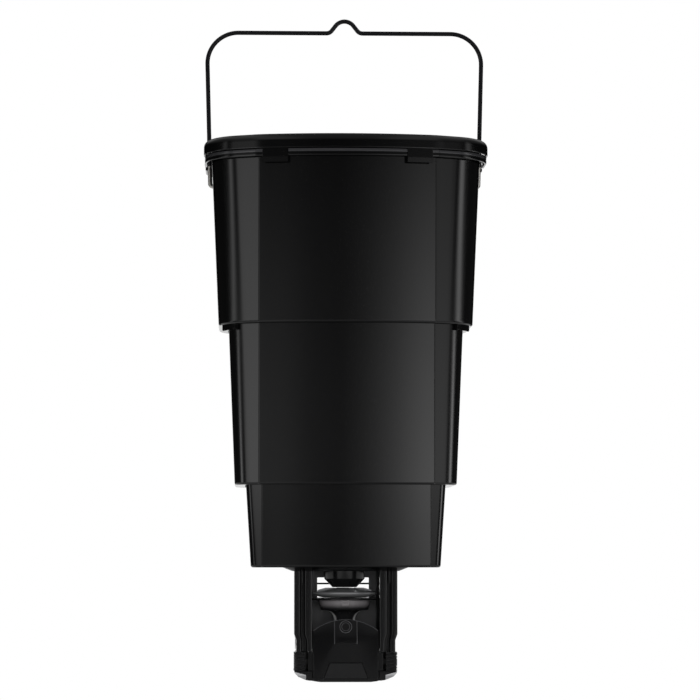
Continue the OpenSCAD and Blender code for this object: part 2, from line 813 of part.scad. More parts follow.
module motor_tower() {
    drum_z = deck_z - deck_t - drum_h;
    taper = 2.4;
    edge = deck_t / 2;
    key_w = 9;
    key_h = 7;
    key_edge = 1.6;
    key_proud = 0.8;
    color("#131417") difference() {
        union() {
            rotate_extrude() {
                translate([0, deck_z - deck_t]) square([deck_r - edge, deck_t]);
                translate([deck_r - edge, deck_z - edge]) circle(edge);
                polygon([
                    [0, deck_z - edge], [drum_r, deck_z - edge], [drum_r, deck_z - deck_t],
                    [drum_r - taper, drum_z], [0, drum_z]
                ]);
                difference() {
                    translate([0, neck_z]) square([neck_r + flare_r, flare_r + eps]);
                    translate([neck_r + flare_r, neck_z]) circle(flare_r);
                }
                translate([0, box_z]) square([neck_r, neck_z - box_z + eps]);
                translate([0, box_z]) square([foot_r, foot_t]);
            }
            span([-key_w / 2, -drum_r - key_proud, deck_z - deck_t - key_h],
                 [key_w / 2, -drum_r + key_edge * 2, deck_z - edge]);
        }
        translate([0, 0, box_z - over])
            cylinder(r = motor_r + fit_gap, h = motor_z + fit_gap - box_z + over);
        translate([0, 0, motor_z]) cylinder(r = motor_boss_r + fit_gap, h = deck_z - motor_z + over);
        both_sides() translate([motor_screw_x, 0, motor_z]) {
            cylinder(r = motor_screw_r, h = deck_z - motor_z + over);
            translate([0, 0, deck_z - motor_head_h - motor_z])
                cylinder(r = 2 * motor_screw_r, h = motor_head_h + over);
        }
        span([-key_w / 2 + key_edge, -drum_r - key_proud - over, deck_z - deck_t - key_h + 2 * key_edge],
             [key_w / 2 - key_edge, -drum_r + key_proud, deck_z - deck_t - key_edge]);
        tower_screw_places() translate([0, 0, box_z - over])
            cylinder(r = motor_screw_r, h = foot_t + 2 * over);
    }
}

module motor_can() {
    color("#8d9095") difference() {
        union() {
            translate([0, 0, motor_z - motor_len]) cylinder(r = motor_r, h = motor_len);
            translate([0, 0, motor_z - eps]) cylinder(r = motor_boss_r, h = motor_boss_h);
        }
        translate([0, 0, shaft_z - over]) cylinder(r = shaft_r + run_gap, h = motor_len);
        both_sides() translate([motor_screw_x, 0, motor_z - motor_grip - over])
            cylinder(r = motor_screw_r, h = motor_grip + 2 * over);
    }
}

module motor_screws() {
    color("silver") both_sides() translate([motor_screw_x, 0, 0]) {
        translate([0, 0, motor_z - motor_grip])
            cylinder(r = motor_screw_r, h = deck_z - motor_z + motor_grip - motor_head_h + eps);
        translate([0, 0, deck_z - motor_head_h])
            cylinder(r = 2 * motor_screw_r, h = motor_head_h - run_gap);
    }
}

module tower_screws() {
    head_h = 1.6;
    color("silver") tower_screw_places() {
        translate([0, 0, box_z - box_wall]) cylinder(r = motor_screw_r, h = box_wall + foot_t + eps);
        translate([0, 0, box_z + foot_t]) cylinder(r = 2 * motor_screw_r, h = head_h);
    }
}

// Control box: a narrow upper part between the posts and a wider lower part over the base pan
box_gap = 0.4;
box_half = post_in - box_gap;
clip_reach = 15.3;
clip_room = 0.7;
low_half = half_w - clip_reach - clip_room;
clip_set = 4;
clip_y = -half_d + clip_set;
panel_top = box_z - 6;
panel_bottom = box_z - 36;
panel_half = 26;
hinge_y = -box_front + 5;
hinge_z = box_z + 9;
lug_x = 8.5;
lug_w = 3;
lug_round = 2.6;
lug_root = 8;
stem_w = 10;
stem_h = 6;
stem_z = clip_z - clip_h / 2;
latch_low = 4.7;
latch_z = base_z + latch_low;
latch_rod_r = 2;
latch_rod_z = latch_z + latch_h * 0.7;
base_screw_x = low_half - box_wall - 2;
base_screw_y = [-box_front + box_wall + 2.5, box_rear - box_wall - 2];
base_boss_r = 3;
base_boss_h = 14;
base_screw_r = 1.5;
base_head_r = 3;
base_head_z = pan_z - 4;
board_y = -box_front + 8;
board_x = panel_half + 5.5;
board_holes = [box_z - 8, box_z - 34];

module base_screw_places() {
    for (x = [-1, 1], y = base_screw_y) translate([x * base_screw_x, y, 0]) children();
}

module board_screw_places() {
    for (x = [-1, 1], z = board_holes) translate([x * board_x, 0, z]) children();
}

module control_box() {
    color("#111214") difference() {
        union() {
            difference() {
                union() {
                    span([-box_half, -box_front, clip_z], [box_half, box_rear, box_z]);
                    span([-low_half, -box_front, pan_z], [low_half, box_rear, clip_z]);
                    both_sides() span([low_half - over, clip_y + clip_d + over, pan_z],
                                      [half_w - post_step, box_rear, clip_z]);
                }
                span([-box_half + box_wall, -box_front + box_wall, clip_z - box_wall - over],
                     [box_half - box_wall, box_rear - box_wall, box_z - box_wall]);
                span([-low_half + box_wall, -box_front + box_wall, pan_z - over],
                     [low_half - box_wall, box_rear - box_wall, clip_z - box_wall]);
            }
            both_sides() difference() {
                along_x_at(lug_x, lug_w) polygon([
                    [-box_front, box_z - over], [hinge_y - lug_round, hinge_z],
                    [hinge_y - lug_round / 2, hinge_z + lug_round * 0.8],
                    [hinge_y + lug_round / 2, hinge_z + lug_round * 0.8],
                    [hinge_y + lug_round, hinge_z], [hinge_y + lug_root, box_z - over]
                ]);
                translate([0, hinge_y, hinge_z]) x_rod(hinge_d / 2, 0, unit_w);
            }
            base_screw_places() translate([0, 0, pan_z]) cylinder(r = base_boss_r, h = base_boss_h);
            board_screw_places() y_rod(base_boss_r, -box_front + over, board_y);
        }
        span([-panel_half, -box_front - over, panel_bottom],
             [panel_half, -box_front + box_wall + over, panel_top]);
        translate([0, 0, box_z - box_wall - over])
            cylinder(r = motor_r + fit_gap, h = box_wall + 2 * over);
        tower_screw_places() translate([0, 0, box_z - box_wall - over])
            cylinder(r = motor_screw_r, h = box_wall + 2 * over);
        base_screw_places() translate([0, 0, pan_z - over])
            cylinder(r = base_screw_r, h = base_boss_h - over);
        board_screw_places() y_rod(motor_screw_r, -box_front + box_wall, board_y + over);
        translate([0, 0, latch_rod_z])
            y_rod(latch_rod_r + fit_gap, -box_front - over, -box_front + box_wall + over);
        both_sides() translate([0, clip_y + clip_d / 2, stem_z])
            span([low_half - box_wall - over, -stem_w / 2 - seat_gap, -stem_h / 2 - seat_gap],
                 [low_half + over, stem_w / 2 + seat_gap, stem_h / 2 + seat_gap]);
    }
}

// A profile in Y and Z drawn along X from x0 for w
module along_x_at(x0, w) {
    translate([x0 + w / 2, 0, 0]) along_x(w) children();
}

// Base cover: a pan with wide chamfers at the sides, hollow over its floor
pan_floor = 2.2;
pan_hollow = 33;

module base_cover() {
    side = half_w - 0.5;
    corner_front = -half_d + 3;
    cover_room = 1.5;
    color("#16171a") difference() {
        intersection() {
            along_y(-half_d, half_d) polygon([
                [-side, pan_z], [-side, pan_z - 0.15 * base_h], [-side + 4, pan_z - 0.5 * base_h],
                [-side + 13, base_z + 0.18 * base_h], [-side + 29, base_z], [side - 29, base_z],
                [side - 13, base_z + 0.18 * base_h], [side - 4, pan_z - 0.5 * base_h],
                [side, pan_z - 0.15 * base_h], [side, pan_z]
            ]);
            along_x(unit_w) polygon([
                [corner_front, pan_z], [corner_front, pan_z - 0.4 * base_h], [corner_front + 8, base_z],
                [box_rear - 8, base_z], [box_rear, pan_z - 0.4 * base_h], [box_rear, pan_z]
            ]);
        }
        span([-cover_w / 2 - cover_room, -half_d - over, base_z - over],
             [cover_w / 2 + cover_room, -box_front, pan_z + over]);
        span([-pan_hollow, -box_front + box_wall, base_z + pan_floor],
             [pan_hollow, box_rear - box_wall, pan_z + over]);
        base_screw_places() translate([0, 0, base_z - over]) {
            cylinder(r = base_screw_r + fit_gap, h = base_h + 2 * over);
            cylinder(r = base_head_r + fit_gap, h = base_head_z - base_z + over);
        }
    }
}

module base_screws() {
    head_h = 2;
    in_boss = 10;
    color("silver") base_screw_places() translate([0, 0, base_head_z]) {
        translate([0, 0, -eps]) cylinder(r = base_screw_r, h = pan_z - base_head_z + in_boss);
        translate([0, 0, -head_h]) cylinder(r = base_head_r, h = head_h);
    }
}

// Squeeze clip: a ribbed block with a tongue in the side of the control box
module clip_right() {
    inner = half_w - clip_reach + clip_travel + seat_gap;
    outer = half_w;
    bottom = pan_z + seat_gap;
    pitch = clip_h / clip_ribs;
    rib_depth = 1.2;
    rib_gap = pitch * 0.45;
    slant = 6;
    round_r = 4;
    y1 = clip_y + clip_d;
    color("#1d1e22") {
        difference() {
            translate([(inner + outer) / 2, clip_y + clip_d / 2, bottom])
                linear_extrude(clip_z - bottom) difference() {
                    square([outer - inner, clip_d], center = true);
                    translate([(outer - inner) / 2 - round_r, -clip_d / 2 + round_r]) difference() {
                        translate([0, -round_r - over]) square(round_r + over);
                        circle(round_r);
                    }
                }
            for (i = [0 : clip_ribs - 1])
                translate([outer, 0, clip_z - pitch * (i + 0.5)]) rotate([0, slant, 0]) {
                    span([-rib_depth, clip_y - over, 0], [rib_depth + over, y1 - round_r, rib_gap]);
                    span([inner - outer - 2 * over, clip_y - over, 0],
                         [rib_depth + over, clip_y + rib_depth, rib_gap]);
                }
        }
        translate([0, clip_y + clip_d / 2, stem_z])
            span([low_half - box_wall, -stem_w / 2, -stem_h / 2], [inner + over, stem_w / 2, stem_h / 2]);
    }
}

module clip_left() {
    mirror([1, 0, 0]) clip_right();
}

// Front cover: a plate with a crease and an arched top, side returns, a raised strap and a ring,
// a knuckle for the hinge pin and a notch for the thumb latch
cover_top = box_z + arch_rise + 0.2;
crease_z = cover_top - crease_drop;
cover_bottom = latch_z - 2.3;
cover_set = 2;
cover_y = -half_d + cover_set;
latch_flare = 6.5;
latch_gap = 0.5;

module latch_outline(gap) {
    top = latch_z + latch_h + gap;
    polygon([
        [-latch_w / 2 - latch_flare - gap, latch_z - 5], [latch_w / 2 + latch_flare + gap, latch_z - 5],
        [latch_w / 2 + latch_flare + gap, latch_z], [latch_w / 2 + gap, top], [-latch_w / 2 - gap, top],
        [-latch_w / 2 - latch_flare - gap, latch_z]
    ]);
}

// Section of the cover's front, from y_out out of its face to y_in behind it
module cover_section(y_out, y_in) {
    back = crease_drop * tan(cover_lean);
    polygon([
        [cover_y - y_out, cover_bottom], [cover_y - y_out, crease_z],
        [cover_y - y_out + back, cover_top], [cover_y + y_in + back, cover_top],
        [cover_y + y_in, crease_z], [cover_y + y_in, cover_bottom]
    ]);
}

module cover_outline(w) {
    chord = cover_w / 2;
    arch_r = (chord * chord + arch_rise * arch_rise) / (2 * arch_rise);
    intersection() {
        translate([-w / 2, cover_bottom]) square([w, cover_top - cover_bottom]);
        translate([0, cover_top - arch_r]) circle(arch_r, $fn = 128);
    }
    translate([-w / 2, cover_bottom]) square([w, cover_top - arch_rise - cover_bottom - 1]);
}

module front_cover() {
    rim_w = 2;
    rim_gap = 0.6;
    rim_depth = -box_front - rim_gap - cover_y;
    strap_t = 0.9;
    strap_z = cover_top - 28;
    ring_r = 6.7;
    ring_w = 2.2;
    ring_t = 1.6;
    ring_at = cover_top - 8.4;
    knuckle_r = 2.6;
    knuckle_half = lug_x - seat_gap;
    color("#0e0f11") difference() {
        union() {
            intersection() {
                union() {
                    along_x(cover_w) cover_section(0, cover_t);
                    both_sides() along_x_at(cover_w / 2 - rim_w, rim_w) intersection() {
                        cover_section(0, rim_depth);
                        translate([cover_y, cover_bottom])
                            square([rim_depth, box_z - cover_bottom]);
                    }
                }
                along_y(-unit_d, unit_d) cover_outline(cover_w);
            }
            intersection() {
                along_x(strap_w) cover_section(strap_t, 1);
                along_y(-unit_d, unit_d) intersection() {
                    cover_outline(cover_w);
                    translate([-strap_w / 2, strap_z]) square([strap_w, 40]);
                }
            }
            intersection() {
                along_x(strap_w) cover_section(ring_t, 1);
                along_y(-unit_d, unit_d) translate([0, ring_at]) difference() {
                    circle(ring_r);
                    circle(ring_r - ring_w);
                }
            }
            intersection() {
                along_x(2 * knuckle_half) union() {
                    translate([hinge_y, hinge_z]) circle(knuckle_r);
                    polygon([
                        [hinge_y, hinge_z + knuckle_r], [hinge_y, hinge_z - knuckle_r],
                        [cover_y, hinge_z - knuckle_r], [cover_y, hinge_z + knuckle_r]
                    ]);
                }
                along_x(strap_w) union() {
                    cover_section(0, cover_t);
                    translate([hinge_y, hinge_z]) circle(knuckle_r);
                    polygon([
                        [hinge_y, hinge_z + knuckle_r], [hinge_y, hinge_z - knuckle_r],
                        [cover_y + 8, hinge_z - knuckle_r], [cover_y + 4, hinge_z + knuckle_r]
                    ]);
                }
            }
        }
        along_y(-unit_d, unit_d) latch_outline(latch_gap);
        translate([0, hinge_y, hinge_z]) x_rod(hinge_d / 2 + run_gap, -unit_w, unit_w);
    }
}

module cover_hinge_pin() {
    end = lug_x + lug_w;
    color("silver") translate([0, hinge_y, hinge_z]) x_rod(hinge_d / 2, -end, end);
}

// Thumb latch: a trapezoid pad on a stem that runs in the front of the control box
module cover_latch() {
    pad_t = 2.8;
    proud = 0.6;
    color("#3a3b3e") {
        along_y(cover_y - proud, cover_y - proud + pad_t) intersection() {
            latch_outline(0);
            translate([-unit_w / 2, latch_z]) square([unit_w, latch_h]);
        }
        translate([0, 0, latch_rod_z])
            y_rod(latch_rod_r, cover_y - proud + pad_t - eps, -box_front + box_wall);
    }
}

// Timer: a panel behind the box's front, a board with switches, a display and four keys
panel_t = 1.6;
panel_y = -box_front + box_wall;
key_z = box_z - 28;
key_gap = 0.25;
display_w = 30;
display_h = 12;
display_z = box_z - 20;
board_t = 1.6;
key_foot = 1.2;
key_rise = 0.6;
switch_h = board_y - (panel_y + panel_t + key_foot + key_travel + run_gap);

module key_places() {
    for (i = [0 : 3]) translate([(i - 1.5) * key_pitch, 0, key_z]) children();
}

module control_panel() {
    panel_lap = 1.5;
    color("#26282c") difference() {
        span([-panel_half - panel_lap, panel_y, panel_bottom - panel_lap],
             [panel_half + panel_lap, panel_y + panel_t, panel_top + panel_lap]);
        key_places() y_rod(key_r + key_gap, panel_y - over, panel_y + panel_t + over);
        span([-display_w / 2, panel_y - over, display_z],
             [display_w / 2, panel_y + panel_t + over, display_z + display_h]);
    }
}

module circuit_board() {
    color("#1d5a35") difference() {
        union() {
            span([-box_half + box_wall + box_gap, board_y, board_holes[1] - base_boss_r],
                 [box_half - box_wall - box_gap, board_y + board_t, board_holes[0] + base_boss_r]);
            key_places() y_rod(key_r - key_gap, board_y - switch_h, board_y + eps);
        }
        board_screw_places() y_rod(motor_screw_r, board_y - over, board_y + board_t + over);
    }
}

module board_screws() {
    head_h = 1.5;
    color("silver") board_screw_places() {
        y_rod(motor_screw_r, board_y - motor_grip, board_y + board_t + eps);
        y_rod(2 * motor_screw_r, board_y + board_t, board_y + board_t + head_h);
    }
}

module display() {
    rim = 1.5;
    color("#7d8a78") span([-display_w / 2 - rim, panel_y + panel_t, display_z - rim],
                          [display_w / 2 + rim, board_y, display_z + display_h + rim]);
}

module timer_key(i) {
    flange = 0.8;
    color("#c4c6c9") translate([(i - 1.5) * key_pitch, 0, key_z]) {
        y_rod(key_r, -box_front - key_rise, panel_y + panel_t + key_foot);
        y_rod(key_r + flange, panel_y + panel_t + fit_gap, panel_y + panel_t + key_foot);
    }
}

module key_mode() {
    timer_key(0);
}

module key_set() {
    timer_key(1);
}

module key_up() {
    timer_key(2);
}

module key_down() {
    timer_key(3);
}

// Battery supply: a tray on the pan's floor with cells side by side, plates and springs at their ends
tray_wall = 1.6;
tray_z = base_z + pan_floor + fit_gap;
cell_pitch = 2 * cell_r + 1;
cell_y0 = -(cell_count - 1) / 2 * cell_pitch + 6;
cell_z = tray_z + tray_wall + cell_r;
contact_t = 0.5;
spring_len = 4;
bay_half = (cell_len + spring_len) / 2 + contact_t;
tray_half_d = cell_count * cell_pitch / 2 + tray_wall;

module cell_places() {
    for (i = [0 : cell_count - 1]) translate([0, cell_y0 + i * cell_pitch, cell_z]) children();
}

module battery_tray() {
    mid_y = cell_y0 + (cell_count - 1) / 2 * cell_pitch;
    color("#202226") difference() {
        span([-bay_half - tray_wall, mid_y - tray_half_d, tray_z],
             [bay_half + tray_wall, mid_y + tray_half_d, cell_z + cell_r * 0.6]);
        cell_places() x_rod(cell_r + fit_gap, -bay_half, bay_half);
        cell_places() span([-bay_half, -cell_r * 0.9, 0], [bay_half, cell_r * 0.9, cell_r + over]);
    }
}

module battery_cells() {
    cap_r = 2.7;
    cap_h = 1.2;
    shift = spring_len / 2;
    color("#3d4a52") cell_places() {
        x_rod(cell_r, -cell_len / 2 - shift, cell_len / 2 - shift - cap_h);
        x_rod(cap_r, cell_len / 2 - shift - cap_h - eps, cell_len / 2 - shift);
    }
}

module battery_contacts() {
    plate_half = 4;
    plate_rise = 5;
    color("#b9bcc0") cell_places() {
        span([-bay_half, -plate_half, -plate_rise], [-bay_half + contact_t, plate_half, plate_rise]);
        span([bay_half - contact_t, -plate_half, -plate_rise], [bay_half, plate_half, plate_rise]);
    }
}

module battery_springs() {
    turns = 3;
    coil_r = 3;
    end = cell_len / 2 - spring_len / 2;
    color("#c9ccd0") cell_places()
        for (i = [0 : turns - 1])
            translate([end + spring_len * (i + 0.5) / turns, 0, 0]) rotate([0, 90, 0])
            rotate_extrude() translate([coil_r, 0]) circle(spring_len / turns / 2, $fn = 16);
}

bail_wire();
lid();
upper_tier();
middle_tier();
lower_tier();
feed_funnel();
unit_frame();
guard_bar();
frame_screws();
spinner_plate();
spinner_hub();
hub_set_screw();
motor_shaft();
motor_tower();
motor_can();
motor_screws();
tower_screws();
control_box();
base_cover();
base_screws();
clip_left();
clip_right();
front_cover();
cover_hinge_pin();
cover_latch();
control_panel();
circuit_board();
board_screws();
display();
key_mode();
key_set();
key_up();
key_down();
battery_tray();
battery_cells();
battery_contacts();
battery_springs();
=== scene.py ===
import contextlib
from math import cos, pi, radians, sin, sqrt, tan

import bmesh
import bpy
from mathutils import Matrix, Vector


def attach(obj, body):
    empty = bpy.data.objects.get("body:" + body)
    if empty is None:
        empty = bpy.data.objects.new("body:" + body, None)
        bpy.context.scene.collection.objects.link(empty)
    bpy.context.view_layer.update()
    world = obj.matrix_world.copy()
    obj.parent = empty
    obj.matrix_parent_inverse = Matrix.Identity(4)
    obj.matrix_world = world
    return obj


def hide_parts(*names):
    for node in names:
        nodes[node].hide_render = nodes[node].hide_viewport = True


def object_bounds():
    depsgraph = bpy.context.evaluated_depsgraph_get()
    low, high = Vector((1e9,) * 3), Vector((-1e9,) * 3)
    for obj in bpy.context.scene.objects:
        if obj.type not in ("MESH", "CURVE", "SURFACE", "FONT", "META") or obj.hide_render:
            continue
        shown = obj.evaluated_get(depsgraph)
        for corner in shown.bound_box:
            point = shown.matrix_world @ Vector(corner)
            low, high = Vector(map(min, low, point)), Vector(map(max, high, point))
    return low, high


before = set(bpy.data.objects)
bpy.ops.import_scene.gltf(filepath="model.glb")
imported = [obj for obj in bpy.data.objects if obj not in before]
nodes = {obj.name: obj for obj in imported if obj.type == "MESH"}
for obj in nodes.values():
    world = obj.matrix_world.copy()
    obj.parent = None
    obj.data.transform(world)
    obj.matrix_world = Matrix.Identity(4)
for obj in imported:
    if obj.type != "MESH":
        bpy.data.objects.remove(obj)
cad_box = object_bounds()


# Bail: one length of steel wire, bent cold into a hump, a bar and two leaning legs, then dipped in
# a black coat that stops at the rim. The bare feet are turned in and sprung into the upper tier.
WIRE_R = 0.0025
CROWN_Z, BAR_Z, MOUTH_Z, COAT_END_Z, PIVOT_Z = 0.0042, -0.0122, -0.1526, -0.1685, -0.1918


class Signal:
    """A socket of a material's node tree. Arithmetic adds Math nodes, node() adds any other."""

    def __init__(self, tree, socket=None):
        self.tree, self.socket = tree, socket

    def node(self, kind, settings=None, sockets=None, out=0):
        made = self.tree.nodes.new("ShaderNode" + kind)
        for key, value in (settings or {}).items():
            if key == "stops":
                ramp = made.color_ramp.elements
                ramp[0].position, ramp[-1].position = value[0][0], value[-1][0]
                for place, _ in value[1:-1]:
                    ramp.new(place)
                for stop, (_, grey) in zip(ramp, value):
                    stop.color = (grey, grey, grey, 1)
            else:
                setattr(made, key, value)
        for key, value in (sockets or {}).items():
            if isinstance(value, Signal):
                self.tree.links.new(value.socket, made.inputs[key])
            else:
                made.inputs[key].default_value = value
        return Signal(self.tree, made.outputs[out])

    def math(self, operation, first, second=0.0):
        return self.node("Math", {"operation": operation}, {0: first, 1: second})

    def __add__(self, other):
        return self.math("ADD", self, other)

    def __mul__(self, other):
        return self.math("MULTIPLY", self, other)

    def __sub__(self, other):
        return self.math("SUBTRACT", self, other)

    def __rsub__(self, other):
        return self.math("SUBTRACT", other, self)

    def __abs__(self):
        return self.math("ABSOLUTE", self)

    __radd__, __rmul__ = __add__, __mul__

    def step(self, low, high):
        """0 below low, 1 above high, smooth between them."""
        return self.node("MapRange", {"interpolation_type": "SMOOTHSTEP"},
                         {"Value": self, "From Min": low, "From Max": high})

    def band(self, low, full, fade, high):
        """0 outside low and high, 1 between full and fade."""
        return self.step(low, full) * (1 - self.step(fade, high))

    def mix(self, first, second):
        """A colour from first to second as this value goes from 0 to 1."""
        return self.node("Mix", {"data_type": "RGBA"}, {0: self, 6: first, 7: second}, out=2)


class Finish(Signal):
    """A procedural material: one Principled shader, and the patterns that feed it."""

    def __init__(self, name, **constants):
        self.material = bpy.data.materials.new(name)
        self.material.use_nodes = True
        super().__init__(self.material.node_tree)
        self.tree.nodes.clear()
        self.shader = self.tree.nodes.new("ShaderNodeBsdfPrincipled")
        end = self.tree.nodes.new("ShaderNodeOutputMaterial")
        self.tree.links.new(self.shader.outputs[0], end.inputs[0])
        self.place = self.node("TexCoord", out="Object")
        for key, value in constants.items():
            self.shader.inputs[key.replace("_", " ")].default_value = value

    def feed(self, **signals):
        for key, value in signals.items():
            self.tree.links.new(value.socket, self.shader.inputs[key.replace("_", " ")])
        return self

    def noise(self, scale, detail=2.0, rough=0.5, stretch=(1, 1, 1)):
        """Noise on the piece's own coordinates, about 0.5 on average. Scale is in lumps a metre."""
        spot = self.node("Mapping", None, {"Vector": self.place, "Scale": stretch})
        return self.node("TexNoise", None,
                         {"Vector": spot, "Scale": scale, "Detail": detail, "Roughness": rough})

    def bump(self, height, distance, strength=1.0, under=None):
        sockets = {"Height": height, "Distance": distance, "Strength": strength}
        if under:
            sockets["Normal"] = under
        return self.node("Bump", None, sockets)

    def axis(self, name):
        return self.node("SeparateXYZ", None, {0: self.place}, out=name)

    def colour(self):
        """What feeds the base colour so far."""
        return Signal(self.tree, self.shader.inputs["Base Color"].links[0].from_socket)


def placed(name, data):
    made = bpy.data.objects.new(name, data)
    bpy.context.scene.collection.objects.link(made)
    return made


def finished(holder):
    """The plain mesh that an object's modifiers give. The object goes."""
    graph = bpy.context.evaluated_depsgraph_get()
    made = bpy.data.meshes.new_from_object(holder.evaluated_get(graph))
    holder.modifiers.clear()
    bpy.data.objects.remove(holder)
    return made


class Recipe:
    """A Geometry Nodes tree with named inputs. run() gives its result as a plain mesh."""

    def __init__(self, name, **inputs):
        self.tree = bpy.data.node_groups.new(name, "GeometryNodeTree")
        face = self.tree.interface
        face.new_socket("Geometry", in_out="INPUT", socket_type="NodeSocketGeometry")
        self.keys = {}
        for key, kind in inputs.items():
            socket = face.new_socket(key, in_out="INPUT", socket_type="NodeSocket" + kind)
            self.keys[key] = socket.identifier
        face.new_socket("Geometry", in_out="OUTPUT", socket_type="NodeSocketGeometry")
        self.given = self.tree.nodes.new("NodeGroupInput").outputs

    def node(self, kind, settings=None, sockets=None, out=0):
        made = self.tree.nodes.new(kind)
        for key, value in (settings or {}).items():
            setattr(made, key, value)
        for key, value in (sockets or {}).items():
            if isinstance(value, bpy.types.NodeSocket):
                self.tree.links.new(value, made.inputs[key])
            else:
                made.inputs[key].default_value = value
        return made.outputs[out]

    def math(self, operation, first, second):
        return self.node("ShaderNodeMath", {"operation": operation}, {0: first, 1: second})

    def end(self, geometry):
        real = self.node("GeometryNodeRealizeInstances", None, {0: geometry})
        dressed = self.node("GeometryNodeSetMaterial", None,
                            {"Geometry": real, "Material": self.given["Material"]})
        self.tree.links.new(dressed, self.tree.nodes.new("NodeGroupOutput").inputs[0])
        return self

    def run(self, mesh, **values):
        holder = placed("holder", mesh)
        modifier = holder.modifiers.new("recipe", "NODES")
        modifier.node_group = self.tree
        for key, value in values.items():
            modifier[self.keys[key]] = value
        return finished(holder)


def fit(name, mesh, finish, body, replaced, crease=38):
    """Links a finished mesh as a piece that rides on a body and stands for its CAD node."""
    mesh.materials.clear()
    mesh.materials.append(finish.material)
    if crease:
        mesh.shade_smooth()
        mesh.set_sharp_from_angle(angle=radians(crease))
    piece = placed(name, mesh)
    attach(piece, body)
    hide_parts(replaced)


def bend(x, z, r, start, stop, steps):
    """Points on a flat arc, from one angle to another."""
    turn = [radians(start + (stop - start) * i / steps) for i in range(steps + 1)]
    return [(x + r * cos(a), z + r * sin(a)) for a in turn]


def trace(points, linked=True):
    """A bare mesh of points, with edges from each to the next where they are linked."""
    mesh = bpy.data.meshes.new("trace")
    mesh.from_pydata(points, [(i, i + 1) for i in range(len(points) - 1)] if linked else [], [])
    return mesh


hump_r, hump_foot, hump_slope = 0.013, 0.021, 52
hump_rise = CROWN_Z - WIRE_R - BAR_Z
climb, run = sin(radians(hump_slope)), cos(radians(hump_slope))
hump_foot_r = (hump_foot * climb - hump_rise * run) / (1 - run) - hump_r
leg_lean, leg_x, foot_end = 1.5, 0.15612, 0.1453
corner_r, foot_r = 0.036, 0.0032
corner_z, foot_z = BAR_Z - corner_r, PIVOT_Z + foot_r
lean = radians(leg_lean)
corner_x = leg_x + ((corner_z - MOUTH_Z) * sin(lean) - corner_r) / cos(lean)
foot_x = leg_x + ((foot_z - MOUTH_Z) * sin(lean) - foot_r) / cos(lean)
half = bend(0, CROWN_Z - WIRE_R - hump_r, hump_r, 90, 90 - hump_slope, 14)
half += bend(hump_foot, BAR_Z + hump_foot_r, hump_foot_r, 270 - hump_slope, 270, 9)
half += bend(corner_x, corner_z, corner_r, 90, -leg_lean, 24)
half += bend(foot_x, foot_z, foot_r, -leg_lean, -90, 10)
half.append((foot_end, PIVOT_Z))
path = [(-x, 0, z) for x, z in reversed(half[1:])] + [(x, 0, z) for x, z in half]

coat = Finish("black coat and bare wire", Specular_IOR_Level=0.3)
coated = (coat.axis("Z") + coat.noise(900, 3) * 0.0014).step(COAT_END_Z, COAT_END_Z + 0.0012)
drawn = coat.noise(500, 4, 0.6, (4, 4, 0.4))
coat.feed(
    Base_Color=coated.mix((0.62, 0.60, 0.56, 1), (0.005, 0.005, 0.006, 1)),
    Metallic=1 - coated,
    Roughness=coated * 0.24 + (1 - coated) * (0.2 + 0.16 * drawn),
    Normal=coat.bump(drawn * (1 - coated), 0.0001, 0.06),
)

wire = Recipe("wire on a path", Radius="Float", Sides="Int", Material="Material")
line = wire.node("GeometryNodeMeshToCurve", None, {0: wire.given["Geometry"]})
disc = wire.node("GeometryNodeCurvePrimitiveCircle", {"mode": "RADIUS"},
                 {"Resolution": wire.given["Sides"], "Radius": wire.given["Radius"]})
wire.end(wire.node("GeometryNodeCurveToMesh", None,
                   {"Curve": line, "Profile Curve": disc, "Fill Caps": True}))
fit("bail", wire.run(trace(path), Radius=WIRE_R, Sides=24, Material=coat.material),
    coat, "bail", "bail_wire")


# Upper tier: a deep tub, injection moulded in black polypropylene. Its front and back are bowed
# panels that stand a little proud, and the rim is turned over outwards with a double bead.
WEB_Z, RIM_Z, UPPER_Z, MIDDLE_Z, LOWER_Z = -0.1631, -0.1714, -0.3571, -0.5379, -0.6309
WALL, STEP, EDGE_R, LIP_T, SLIDE_GAP, SEAT_GAP = 0.0022, 0.0008, 0.0024, 0.0026, 0.0009, 0.0003
UPPER_D, UPPER_CORNER, RIM_REACH = 0.2295, 0.030, 0.008
BOW_R, FLANK = 0.430, radians(24)


